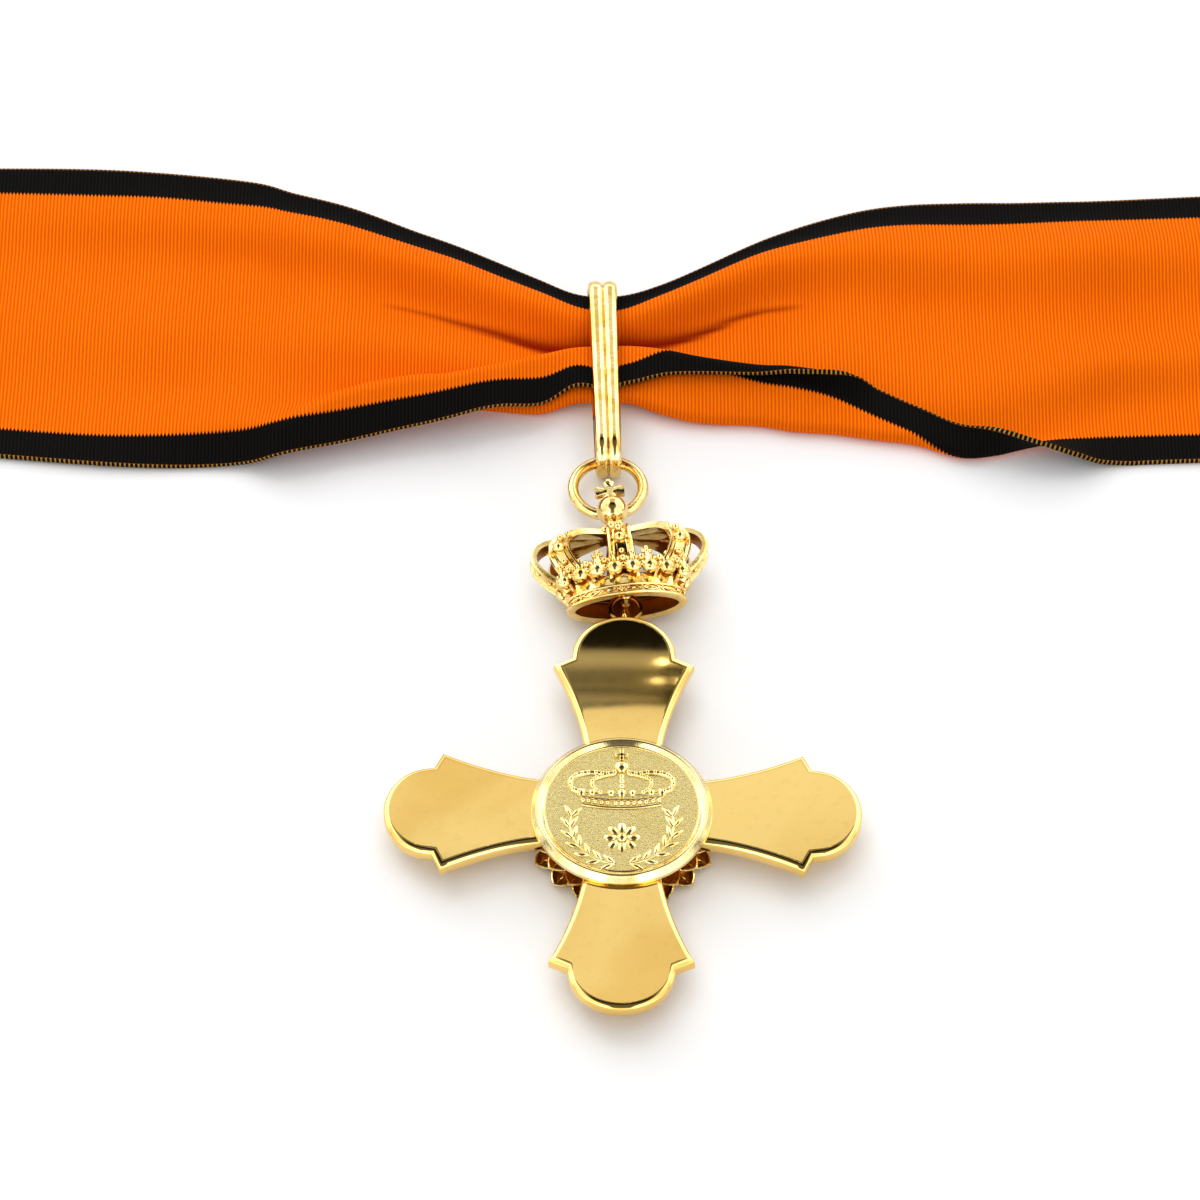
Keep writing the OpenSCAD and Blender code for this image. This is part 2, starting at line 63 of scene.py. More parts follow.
def editFaces(obj, test):  # edit mode with only the faces that pass the test picked
    pick(obj)
    bpy.ops.object.mode_set(mode="EDIT")
    bpy.ops.mesh.select_mode(type="FACE")
    bpy.ops.mesh.select_all(action="DESELECT")
    bpy.ops.object.mode_set(mode="OBJECT")
    for face in obj.data.polygons:
        face.select = bool(test(face))
    bpy.ops.object.mode_set(mode="EDIT")


def outward(obj):  # all faces to look out, after doubles are merged
    pick(obj)
    bpy.ops.object.mode_set(mode="EDIT")
    bpy.ops.mesh.select_all(action="SELECT")
    bpy.ops.mesh.remove_doubles(threshold=0.0005)
    bpy.ops.mesh.normals_make_consistent(inside=False)
    bpy.ops.object.mode_set(mode="OBJECT")
    return obj


def withModifier(obj, kind, **settings):
    pick(obj)
    made = obj.modifiers.new(kind.title(), kind)
    for key, value in settings.items():
        setattr(made, key, value)
    bpy.ops.object.modifier_apply(modifier=made.name)
    return obj


def copied(obj, place):  # a copy with its own mesh, moved by a matrix
    other = obj.copy()
    other.data = obj.data.copy()
    other.data.transform(place)
    bpy.context.collection.objects.link(other)
    return other


def joined(parts, name):
    pick(*parts)
    if len(parts) > 1:
        bpy.ops.object.join()
    return named(name)


def swept(name, path, section, across, closed=False, widths=None, heights=None):
    # a section carried along a path: a ring of a torus for each place, open ends are closed
    count, sides = len(path), len(section)
    bpy.ops.mesh.primitive_torus_add(major_segments=count, minor_segments=sides,
                                     major_radius=50, minor_radius=5)
    obj = named(name)
    for i, here in enumerate(path):
        before = path[i - 1] if closed or i > 0 else here
        after = path[(i + 1) % count] if closed or i < count - 1 else here
        away = across.cross((after - before).normalized()).normalized()
        wide = widths[i] if widths else 1
        tall = heights[i] if heights else wide
        for k, (x, y) in enumerate(section):
            obj.data.vertices[i * sides + k].co = here + across * (x * wide) + away * (y * tall)
    if not closed:
        last = (count - 1) * sides
        editFaces(obj, lambda face: min(face.vertices) < sides and max(face.vertices) >= last)
        bpy.ops.mesh.delete(type="ONLY_FACE")
        bpy.ops.mesh.select_mode(type="EDGE")
        bpy.ops.mesh.select_all(action="SELECT")
        bpy.ops.mesh.delete_loose(use_faces=False)
        bpy.ops.mesh.select_all(action="SELECT")
        bpy.ops.mesh.fill_holes(sides=0)
        bpy.ops.object.mode_set(mode="OBJECT")
    return outward(obj)


def onCircle(r, k, count):  # place k of an even count round a circle
    return r * math.cos(2 * math.pi * k / count), r * math.sin(2 * math.pi * k / count)


def roundSection(r, sides=10):
    return [onCircle(r, k, sides) for k in range(sides)]


def insetOutline(points, depth):  # moved inwards, corners kept sharp
    out = []
    for i, here in enumerate(points):
        a = (here - points[i - 1]).normalized()
        b = (points[(i + 1) % len(points)] - here).normalized()
        mean = (a + b).normalized()
        out.append(here + Vector((-mean.y, mean.x)) * depth / max(mean.dot(a), 0.6))
    return out


def raisedPlate(name, outline, steps):  # a flat outline drawn up through steps of inset and height
    count = len(outline)
    bpy.ops.mesh.primitive_circle_add(vertices=count, radius=10, fill_type="NGON")
    obj = named(name)
    rings = [insetOutline(outline, step[0]) for step in steps]
    for vertex, spot in zip(obj.data.vertices, rings[0]):
        vertex.co = (*spot, steps[0][1])
    for k in range(1, len(steps)):
        if k == 1:
            editFaces(obj, lambda face: True)
        else:
            obj.data.polygons.foreach_set("select", [i == lid for i in range(len(obj.data.polygons))])
            bpy.ops.object.mode_set(mode="EDIT")
        bpy.ops.mesh.extrude_region_move(TRANSFORM_OT_translate={"value": (0, 0, 0.5)})
        bpy.ops.object.mode_set(mode="OBJECT")
        lid = next(face.index for face in obj.data.polygons if face.select)
        for v in obj.data.polygons[lid].vertices:
            old = obj.data.vertices[v].co.xy
            near = min(range(count), key=lambda i: (rings[k - 1][i] - old).length)
            obj.data.vertices[v].co = (*rings[k][near], steps[k][1])
    return outward(obj)


def between(p, q, r, s, f):  # smoothly from q to r
    return q + 0.5 * f * (r - p + f * (2 * p - 5 * q + 4 * r - s + f * (3 * (q - r) + s - p)))


def smoothPath(points, steps):  # a curve through chosen points
    out = []
    for i in range(len(points) - 1):
        p, q, r, s = (points[min(max(i + k, 0), len(points) - 1)] for k in (-1, 0, 1, 2))
        out += [between(p, q, r, s, k / steps) for k in range(steps)]
    return out + [points[-1]]


def ball(name, place, size, fine=16):
    bpy.ops.mesh.primitive_uv_sphere_add(segments=fine, ring_count=max(fine // 2, 4), radius=1)
    obj = named(name)
    obj.data.transform(Matrix.Translation(place) @ Matrix.Diagonal((*size, 1)))
    return obj


def finished(obj, name, look, replaced=(), angle=40):
    obj.data.transform(Matrix.Scale(0.001, 4))
    obj.name = name
    obj.data.name = name
    pick(obj)
    bpy.ops.object.shade_smooth_by_angle(angle=math.radians(angle))
    obj.data.materials.clear()
    obj.data.materials.append(look)
    if replaced:
        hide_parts(*replaced)
    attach(obj, "root")
    print("made", name, len(obj.data.polygons), "faces")
    return obj


# the camera stands in front and above, in mm and degrees
viewPlan = {"aim": (-2.53, 29.77, 4.6), "away": 630.34, "rise": 51.68, "lens": 165.0}

rise = math.radians(viewPlan["rise"])
aim = Vector(viewPlan["aim"]) * 0.001
back = Vector((0, -math.cos(rise), math.sin(rise))) * viewPlan["away"] * 0.001
bpy.ops.object.camera_add(location=aim + back, rotation=(math.pi / 2 - rise, 0, 0))
camera = bpy.context.object
camera.data.lens = viewPlan["lens"]
camera.data.sensor_width = 36
camera.data.clip_start = 0.01
bpy.context.scene.camera = camera
bpy.context.scene.view_settings.view_transform = "Standard"


class Wiring:  # short way to chain math nodes in one tree
    def __init__(self, tree):
        self.tree = tree
        self.count = 0

    def put(self, kind, **settings):
        made = self.tree.nodes.new(kind)
        made.location = (180 * (self.count % 9) - 1600, -220 * (self.count // 9))
        self.count += 1
        for key, value in settings.items():
            setattr(made, key, value)
        return made

    def join(self, source, target):
        self.tree.links.new(source, target)

    def feed(self, socket, value):
        if isinstance(value, bpy.types.NodeSocket):
            self.join(value, socket)
        elif value is not None:
            socket.default_value = value

    def math(self, operation, a, b=None, c=None):
        made = self.put("ShaderNodeMath", operation=operation)
        for socket, value in zip(made.inputs, (a, b, c)):
            self.feed(socket, value)
        return made.outputs[0]

    def ease(self, value, low, high, start=0.0, end=1.0):
        made = self.put("ShaderNodeMapRange", interpolation_type="SMOOTHSTEP")
        for socket, v in zip(made.inputs, (value, low, high, start, end)):
            self.feed(socket, v)
        return made.outputs[0]

    def mix(self, share, a, b):
        made = self.put("ShaderNodeMix", data_type="RGBA")
        self.feed(made.inputs["Factor"], share)
        self.feed(made.inputs[6], a)
        self.feed(made.inputs[7], b)
        return made.outputs[2]

    def filled(self, kind, **values):  # a node with its inputs fed by name
        made = self.put(kind)
        for label, value in values.items():
            self.feed(made.inputs[label], value)
        return made.outputs[0]

    def noise(self, vector, scale, detail=3.0, rough=0.5, distortion=0.0):
        return self.filled("ShaderNodeTexNoise", Vector=vector, Scale=scale, Detail=detail,
                           Roughness=rough, Distortion=distortion)

    def bump(self, height, distance, strength=1.0):
        return self.filled("ShaderNodeBump", Strength=strength, Distance=distance, Height=height)


def newLook(name):  # a material, its wiring and the inputs of its surface
    look = bpy.data.materials.new(name)
    look.use_nodes = True
    return look, Wiring(look.node_tree), look.node_tree.nodes["Principled BSDF"].inputs


roomPlan = {
    # place over the head from the far horizon (0) to the near one (180), brightness there
    "arc": [(0, 0.8), (12, 1.2), (17, 2.3), (22, 2.2), (28, 0.8), (38, 0.85), (50, 1.05),
            (57, 0.98), (57.7, 0.06), (58.4, 0.38), (59.2, 0.07), (60, 0.3), (60.8, 0.08),
            (61.5, 0.28), (62.2, 0.1), (62.8, 0.5), (64.6, 0.42), (65.4, 0.008), (78, 0.01),
            (86, 0.14), (130, 0.2), (142, 0.4), (150, 1.4), (170, 2.0), (180, 0.9)],
    "sideGlow": 2.6, "sideLow": 0.5,
    # small lamps and a dark post: place on the arc, place to the side, half sizes, brightness
    "spots": [(63.4, 0.032, 0.5, 0.004, 7.0), (60.7, 0.026, 0.35, 0.003, 6.0),
              (60.7, 0.045, 0.35, 0.003, 6.0)],
    "post": (60.2, 0.042, 2.6, 0.014),
    "peak": 4.0, "wander": 0.012,
    "soft": 0.18,
}

world = bpy.data.worlds.new("softRoom")
bpy.context.scene.world = world
world.use_nodes = True
w = Wiring(world.node_tree)
sky = world.node_tree.nodes["Background"]
seen = w.put("ShaderNodeTexCoord").outputs["Generated"]
axes = w.put("ShaderNodeSeparateXYZ")
w.join(seen, axes.inputs[0])
turn = w.math("DIVIDE", w.math("ARCTAN2", axes.outputs[2], axes.outputs[1]), math.pi)
turn = w.math("MULTIPLY_ADD", w.math("SUBTRACT", w.noise(seen, 9.0, 2.0), 0.5), roomPlan["wander"], turn)
arc = w.put("ShaderNodeValToRGB")
w.join(turn, arc.inputs[0])
stops = arc.color_ramp.elements
for k, (place, value) in enumerate(roomPlan["arc"]):
    stop = stops[k] if k < 1 else stops.new(place / 180) if k < len(roomPlan["arc"]) - 1 else stops[-1]
    stop.position = place / 180
    stop.color = (*[value / roomPlan["peak"]] * 3, 1)
aside = w.math("ABSOLUTE", axes.outputs[0])
side = w.math("MULTIPLY", w.ease(aside, 0.2, 0.34), w.ease(aside, 0.62, 0.46, roomPlan["sideLow"], 1.0))
high = w.math("MULTIPLY", w.ease(axes.outputs[2], 0.12, 0.25), w.ease(axes.outputs[2], 0.95, 0.8))
glow = w.math("MULTIPLY", w.math("MULTIPLY", side, high), roomPlan["sideGlow"])
for place, along, tall, wide, power in roomPlan["spots"]:
    up = w.math("DIVIDE", w.math("SUBTRACT", turn, place / 180), tall / 180)
    out = w.math("DIVIDE", w.math("SUBTRACT", axes.outputs[0], along), wide)
    reach = w.math("MULTIPLY_ADD", up, up, w.math("MULTIPLY", out, out))
    glow = w.math("MULTIPLY_ADD", w.ease(reach, 1.3, 0.4), power, glow)
place, along, tall, wide = roomPlan["post"]
up = w.ease(w.math("ABSOLUTE", w.math("SUBTRACT", turn, place / 180)), tall / 180, 0.8 * tall / 180)
out = w.ease(w.math("ABSOLUTE", w.math("SUBTRACT", axes.outputs[0], along)), wide, 0.6 * wide)
unhidden = w.math("MULTIPLY_ADD", w.math("MULTIPLY", up, out), -0.95 * roomPlan["peak"], roomPlan["peak"])
w.join(w.math("MULTIPLY_ADD", arc.outputs[0], unhidden, glow), sky.inputs["Color"])
matt = w.put("ShaderNodeLightPath").outputs["Is Diffuse Ray"]
w.join(w.math("MULTIPLY_ADD", matt, roomPlan["soft"] - 1, 1.0), sky.inputs["Strength"])

bpy.ops.mesh.primitive_plane_add(size=6, location=(0, 0.1, 0))
floor = named("floor")
floor.location.z = -0.00002
paper, sheet, skin = newLook("paleFloor")
speck = sheet.noise(sheet.put("ShaderNodeTexCoord").outputs["Object"], 35.0, 4.0)
sheet.feed(skin["Base Color"], sheet.mix(speck, (0.9, 0.9, 0.9, 1), (0.94, 0.94, 0.945, 1)))
sheet.feed(skin["Roughness"], 0.7)
sheet.feed(skin["Specular IOR Level"], 0.1)
floor.data.materials.append(paper)

lightPlan = {"far": {"place": (-0.25, 0.85, 0.8), "size": 1.4, "power": 9.0},
             "overhead": {"place": (0.0, -0.1, 1.3), "size": 1.6, "power": 10.0}}
for name, plan in lightPlan.items():
    bpy.ops.object.light_add(type="AREA", location=plan["place"])
    lamp = bpy.context.object
    lamp.name = name
    lamp.data.size = plan["size"]
    lamp.data.energy = plan["power"]
    lamp.rotation_euler = (Vector((0, 0.03, 0)) - lamp.location).to_track_quat("-Z", "Y").to_euler()
    lamp.visible_glossy = False
print("room ready")


def metalSurface():  # shared by the metals: clouds, fine pits and a slow wobble, from places in metres
    tree = bpy.data.node_groups.new("metalSurface", "ShaderNodeTree")
    for label, kind in (("Clouds", "INPUT"), ("Grain", "INPUT"),
                        ("Smudge", "OUTPUT"), ("Pits", "OUTPUT"), ("Wobble", "OUTPUT")):
        tree.interface.new_socket(name=label, in_out=kind, socket_type="NodeSocketFloat")
    g = Wiring(tree)
    given = g.put("NodeGroupInput")
    clouds, grain = given.outputs["Clouds"], given.outputs["Grain"]
    spot = g.put("ShaderNodeTexCoord").outputs["Object"]
    smudge = g.noise(spot, clouds, 3.0, 0.5, 0.6)
    pits = g.noise(spot, grain, 3.0, 0.6)
    out = g.put("NodeGroupOutput")
    g.join(smudge, out.inputs["Smudge"])
    g.join(pits, out.inputs["Pits"])
    g.join(g.noise(spot, 120.0, 1.0, 0.4), out.inputs["Wobble"])
    return tree


surface = metalSurface()


def goldLook(name, colour, worn, rough, spread, clouds, grain, pitDepth, wobble=0.0, shadeColour=None):
    # colour in the open and where dulled, roughness and its spread, clouds and grains to the metre,
    # depths of the pits and the wobble in metres, colour of the painted shade in the hollows
    look, m, skin = newLook(name)
    m.feed(skin["Metallic"], 1)
    body = m.put("ShaderNodeGroup", node_tree=surface)
    m.feed(body.inputs["Clouds"], clouds)
    m.feed(body.inputs["Grain"], grain)
    smudge, pits = body.outputs["Smudge"], body.outputs["Pits"]
    tint = m.mix(m.ease(smudge, 0.38, 0.68), (*colour, 1), (*worn, 1))
    tint = m.mix(m.ease(pits, 0.48, 0.3, 0.0, 0.5 if pitDepth else 0.1), tint, (*(0.6 * c for c in worn), 1))
    dull = m.math("MULTIPLY_ADD", m.math("ADD", smudge, pits), spread, rough - spread)
    if shadeColour:  # painted shade: insides and undersides darkened to stand for their shadow and dark reflections
        inside = m.put("ShaderNodeAttribute", attribute_name="inside").outputs["Fac"]
        tint = m.mix(inside, tint, m.mix(smudge, (*shadeColour, 1), (*(0.55 * c for c in shadeColour), 1)))
        dull = m.math("MULTIPLY_ADD", inside, 0.3, dull)
    m.feed(skin["Base Color"], tint)
    m.feed(skin["Roughness"], dull)
    height = m.math("MULTIPLY_ADD", body.outputs["Wobble"], wobble, m.math("MULTIPLY", pits, pitDepth))
    m.feed(skin["Normal"], m.bump(height, 1))
    return look


polishedGold = goldLook("polishedGold", (0.95, 0.67, 0.22), (0.83, 0.53, 0.14), 0.05, 0.04,
                        42, 900, 0.0, 0.00002)
castGold = goldLook("castGold", (0.89, 0.67, 0.28), (0.72, 0.47, 0.13), 0.1, 0.06,
                    420, 2600, 0.000014, 0.0, (0.42, 0.16, 0.025))
fieldGold = goldLook("fieldGold", (0.83, 0.68, 0.28), (0.77, 0.6, 0.21), 0.25, 0.1, 90, 5600, 0.00003)
reliefGold = goldLook("reliefGold", (0.86, 0.7, 0.34), (0.74, 0.55, 0.2), 0.08, 0.05, 300, 3600, 0.00001)
linkGold = goldLook("linkGold", (0.5, 0.24, 0.05), (0.4, 0.17, 0.03), 0.2, 0.08, 300, 2600, 0.00001)


def markPaintedShade(obj, test):  # which faces of a piece lie inside or under it, to take the painted shade
    marks = obj.data.attributes.new("inside", "FLOAT", "CORNER")
    for face in obj.data.polygons:
        share = test(face.center, face.normal)
        for k in face.loop_indices:
            marks.data[k].value = share


for name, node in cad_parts.items():
    node.data.materials.clear()
    node.data.materials.append(linkGold if name == "crown_link" else castGold)


# the cross: shares of its reach for the widths, everything else in mm
crossPlan = {"reach": 26.65, "rootAt": 0.226, "rootHalf": 0.155, "shoulderAt": 0.758, "shoulderHalf": 0.3,
             "notchAt": 0.793, "lobeHalf": 0.222, "lobeLength": 0.2, "flare": 1.8,
             "low": 2.8, "top": 4.6, "roll": 0.72, "rollDrop": 0.5, "turn": -0.5,
             "eyeY": 27.55, "eyeZ": 3.7, "eyeRadius": 0.85, "eyeWire": 0.35,
             "curlFrom": 10.0, "curl": 0.158, "footFrom": 14, "footCurl": 0.03, "footSpan": 26,
             "dome": 0.012, "sag": 0.0006, "cutStep": 1.02, "cutShift": 0.31}


def armSide(plan):  # one side of an arm from the middle to the tip
    side, spread = [], plan["shoulderHalf"] - plan["rootHalf"]
    near, far = plan["rootAt"], plan["shoulderAt"]
    for k in range(13):
        s = k / 13
        side.append((near + (far - near) * s, plan["rootHalf"] + spread * s ** plan["flare"]))
    side += [(far, plan["shoulderHalf"]), (plan["notchAt"], plan["lobeHalf"] + 0.002)]
    for k in range(16):
        t = math.radians(78 - 77 * k / 15)
        side.append((1 - plan["lobeLength"] * (1 - math.cos(t)), plan["lobeHalf"] * math.sin(t)))
    return side


def crossOutline(plan):
    side = armSide(plan)
    arm = [(x, -y) for x, y in side] + [(1, 0)] + [(x, y) for x, y in reversed(side)]
    return [Matrix.Rotation(math.pi / 2 * q, 2) @ Vector(p) * plan["reach"] for q in range(4) for p in arm]


def crossHeight(x, y, plan):  # gentle bend of the arms, strongest on the upper one
    past = max(y - plan["curlFrom"], 0)
    span = plan["reach"] - plan["curlFrom"]
    rise = plan["curl"] * past * past / (2 * span)
    rise += plan["footCurl"] * max(-y - plan["footFrom"], 0) ** 2 / plan["footSpan"]
    along, aside = max(abs(x), abs(y)), min(abs(x), abs(y))
    return rise - plan["dome"] * aside * aside / 8 - plan["sag"] * along * along / 8


def buildCross(plan):
    outline = crossOutline(plan)
    low, edge = plan["low"], plan["top"] - plan["rollDrop"]
    steps = [(0.5, low), (0.12, low + 0.12), (0, low + 0.4), (0, edge)]
    for k in range(1, 8):
        t = math.pi / 2 * k / 7
        steps.append((plan["roll"] * (1 - math.cos(t)), plan["top"] - plan["rollDrop"] * (1 - math.sin(t))))
    steps.append((plan["roll"] + 0.15, plan["top"]))
    obj = raisedPlate("cross", outline, steps)
    cuts = int(plan["reach"] / plan["cutStep"])
    for axis in (0, 1):  # cuts across the flat top so that it can bend
        for k in range(-cuts, cuts + 1):
            editFaces(obj, lambda face: face.normal.z > 0.999 and face.center.z > plan["top"] - 0.01)
            spot, facing = [0, 0, 0], [0, 0, 0]
            spot[axis], facing[axis] = k * plan["cutStep"] + plan["cutShift"], 1
            bpy.ops.mesh.bisect(plane_co=spot, plane_no=facing)
            bpy.ops.object.mode_set(mode="OBJECT")
    for vertex in obj.data.vertices:
        vertex.co.z += crossHeight(vertex.co.x, vertex.co.y, plan)
    outward(obj)
    bpy.ops.mesh.primitive_torus_add(major_segments=40, minor_segments=16,
                                     major_radius=plan["eyeRadius"], minor_radius=plan["eyeWire"],
                                     location=(0, plan["eyeY"], plan["eyeZ"]),
                                     rotation=(0, math.pi / 2, 0))
    eye = named("crossEye")
    bpy.ops.object.transform_apply()
    obj = joined([obj, eye], "cross")
    obj.data.transform(Matrix.Rotation(math.radians(plan["turn"]), 4, "Z"))
    return obj


finished(buildCross(crossPlan), "polished_cross", polishedGold, ("cross",), 50)


# the ribbon: pleated where it passes the bail, the rest of the loop folded over at its corners
ribbonPlan = {"width": 45.0, "wall": 1.0, "cloth": 0.55, "halfLoop": 106.0, "deepLoop": 85.0, "sink": -0.12,
              "rowSteps": 8, "columns": (30, 6, 6, 6, 8), "turnSteps": 10, "flatLength": 0.59,
              "stripe": 4.0, "ribPitch": 0.44, "hemPitch": 0.55}

# the painted shade in the valley: where its middle lies and how far it goes, in widths, its shift and half
# widths in mm
creaseShadePlan = {"middle": -0.05, "reach": 0.6, "shift": 0.4, "thin": 0.45, "above": 1.9, "below": 0.6}

# place along the run, upper edge, three layer widths, two turns in degrees, valley,
# two crests, lift, edge lift: crests and lifts in mm, other lengths in widths of the ribbon
ribbonRows = [
    (-1.778, 2.228, 0.776, 0.044, 0.087, 0, 0, 0.333, 0.5, 0.3, 0, 0.4),
    (-1.378, 2.187, 0.76, 0.067, 0.087, 6, 8, 0.333, 1.5, 1, 0, 2.1),
    (-1.022, 2.16, 0.706, 0.111, 0.089, 20, 45, 0.333, 2, 1, 0, 1.4),
    (-0.889, 2.128, 0.718, 0.11, 0.071, 38, 62, 0.333, 2.4, 1.2, 0, 0.8),
    (-0.733, 2.082, 0.65, 0.085, 0.115, 62, 88, 0.322, 2.6, 1.4, 0, 0.45),
    (-0.556, 2.004, 0.575, 0.07, 0.118, 88, 112, 0.3, 2.8, 1.6, 0, 0),
    (-0.444, 1.952, 0.549, 0.07, 0.103, 108, 130, 0.289, 2.9, 1.6, 0, 0),
    (-0.327, 1.887, 0.502, 0.08, 0.103, 138, 156, 0.267, 2.6, 1.4, 0, 0.1),
    (-0.213, 1.811, 0.44, 0.11, 0.122, 158, 180, 0.244, 2.9, 1.2, 0.3, 0.5),
    (-0.122, 1.738, 0.345, 0.111, 0.108, 174, 180, 0.2, 2.3, 0.7, 0.9, 1.2),
    (-0.049, 1.718, 0.324, 0.12, 0.129, 180, 180, 0.178, 1.9, 0.3, 1, 1.6),
    (0.022, 1.73, 0.338, 0.12, 0.11, 178, 180, 0.178, 2, 0.4, 1, 1.4),
    (0.111, 1.786, 0.425, 0.134, 0.062, 168, 180, 0.211, 2.9, 1, 0.6, 0.8),
    (0.211, 1.861, 0.52, 0.134, 0.033, 164, 180, 0.24, 3.2, 1.2, 0.1, 0.3),
    (0.356, 1.956, 0.622, 0.118, 0.012, 162, 180, 0.256, 3, 0.8, 0, 0),
    (0.456, 2.006, 0.692, 0.126, 0.01, 164, 150, 0.289, 3, 0.8, 0, 0),
    (0.556, 2.047, 0.742, 0.1, 0.02, 168, 90, 0.33, 2.9, 0.9, 0, 0),
    (0.667, 2.082, 0.797, 0.037, 0.045, 172, 0, 0.38, 2.8, 1, 0, 0),
    (0.778, 2.1, 0.834, 0.012, 0.029, 172, 0, 0.42, 2.8, 1.2, 0, 0),
    (0.889, 2.106, 0.88, 0.008, 0.01, 150, 0, 0.44, 2.8, 1.6, 0, 0),
    (0.978, 2.108, 0.872, 0.01, 0.012, 105, 0, 0.46, 2.8, 1.6, 0, 0),
    (1.067, 2.108, 0.838, 0.015, 0.02, 62, 0, 0.46, 2.8, 1.6, 0, 0),
    (1.19, 2.112, 0.795, 0.025, 0.04, 25, 0, 0.46, 3.1, 2, 0, 0),
    (1.333, 2.117, 0.748, 0.03, 0.059, 0, 0, 0.46, 3.4, 2.4, 0, 0),
    (1.778, 2.145, 0.716, 0.044, 0.087, 0, 0, 0.46, 0.6, 0.4, 0, 0),
]


def rowBetween(rows, i, f):
    p, q, r, s = (rows[min(max(i + k, 0), len(rows) - 1)] for k in (-1, 0, 1, 2))
    return [between(a, b, c, d, f) for a, b, c, d in zip(p, q, r, s)]


def alongFold(plan, first, last, f):  # place on a fold that turns from one heading to another
    length = math.pi * (plan["wall"] + 0.3) / 2
    sweep, mid = abs((last - first) * f), math.radians(first + (last - first) * f / 2)
    chord = length * f * (1 if sweep < 1 else math.sin(math.radians(sweep / 2)) / math.radians(sweep / 2))
    return Vector((-math.cos(mid), math.sin(mid))) * chord


def ribbonSection(plan, row):
    w, wall = plan["width"], plan["wall"]
    a, m, b, v = row[2] * w, row[3] * w, row[4] * w, row[7] * w
    turnOne = max(row[5], 0)
    turnTwo = turnOne - max(row[6], 0)
    colsA, colsF, colsM, colsG, colsB = plan["columns"]
    start = Vector((row[1] * w, wall * (0.5 + row[10]) + 0.01))
    out = []
    for i in range(colsA + 1):
        t = a * i / colsA
        if t < v:
            crest = row[8] * abs(math.sin(math.pi * t / v)) ** 3
            crest += row[11] * abs(math.cos(math.pi / 2 * t / v)) ** 6
        else:
            crest = row[9] * math.sin(math.pi * (t - v) / (a - v)) ** 2
        out.append(start + Vector((-t, wall * crest)))
    foot = start + Vector((-a, 0))
    out += [foot + alongFold(plan, 0, turnOne, i / colsF) for i in range(1, colsF + 1)]
    foot, way = out[-1], Vector((-math.cos(math.radians(turnOne)), math.sin(math.radians(turnOne))))
    out += [foot + way * m * i / colsM for i in range(1, colsM + 1)]
    foot = out[-1]
    out += [foot + alongFold(plan, turnOne, turnTwo, i / colsG) for i in range(1, colsG + 1)]
    foot, way = out[-1], Vector((-math.cos(math.radians(turnTwo)), math.sin(math.radians(turnTwo))))
    return out + [foot + way * b * i / colsB for i in range(1, colsB + 1)]


def loopSide(plan, sign, frontY, backY, shares):  # two corners, each folded over at 45 degrees
    half, low, x, clear, runs = plan["width"] / 2, plan["wall"] / 2, plan["halfLoop"], 3, 12
    bend = (plan["wall"] + 0.3) / 2
    high, ends = low + 2 * bend, []

    def corner(y, way, z):
        for k in range(plan["turnSteps"] + 1):
            t = math.pi * k / plan["turnSteps"]
            d, rise = bend * math.sin(t) / math.sqrt(2), bend * (1 - math.cos(t))
            ends.append(((sign * (x + half + d), y + way * (half - d), z + way * rise),
                         (sign * (x - half + d), y - way * (half + d), z + way * rise)))

    corner(frontY, 1, low)
    for k in range(runs + 1):
        y = frontY + half + clear + (backY - frontY - 2 * half - 2 * clear) * k / runs
        ends.append(((sign * (x + half), y, high), (sign * (x - half), y, high)))
    corner(backY, -1, high)
    inner = sign * (x - half - clear)
    ends.append(((inner, backY - half, low), (inner, backY + half, low)))
    return [[Vector(p).lerp(Vector(q), s) for s in shares] for p, q in ends]


# soft buckles across the cloth: place, height, half width, slant
ribbonWaves = [(-57.0, 0.75, 5.0, 0.10), (-48.5, -0.7, 4.5, 0.16), (-39.0, 0.6, 4.0, 0.25),
               (-30.0, -0.3, 3.0, 0.3), (24.0, -0.35, 3.0, -0.3), (32.0, 0.5, 4.0, -0.2),
               (43.0, -0.4, 5.0, -0.15), (55.0, 0.4, 6.0, -0.1)]


def ribbonWave(x, down):
    rise = sum(height * math.exp(-((x - place - slant * down) / wide) ** 2)
               for place, height, wide, slant in ribbonWaves)
    return max(rise, -0.9) * math.sin(math.pi * min(max((down - 3) / 30, 0), 1)) ** 0.7


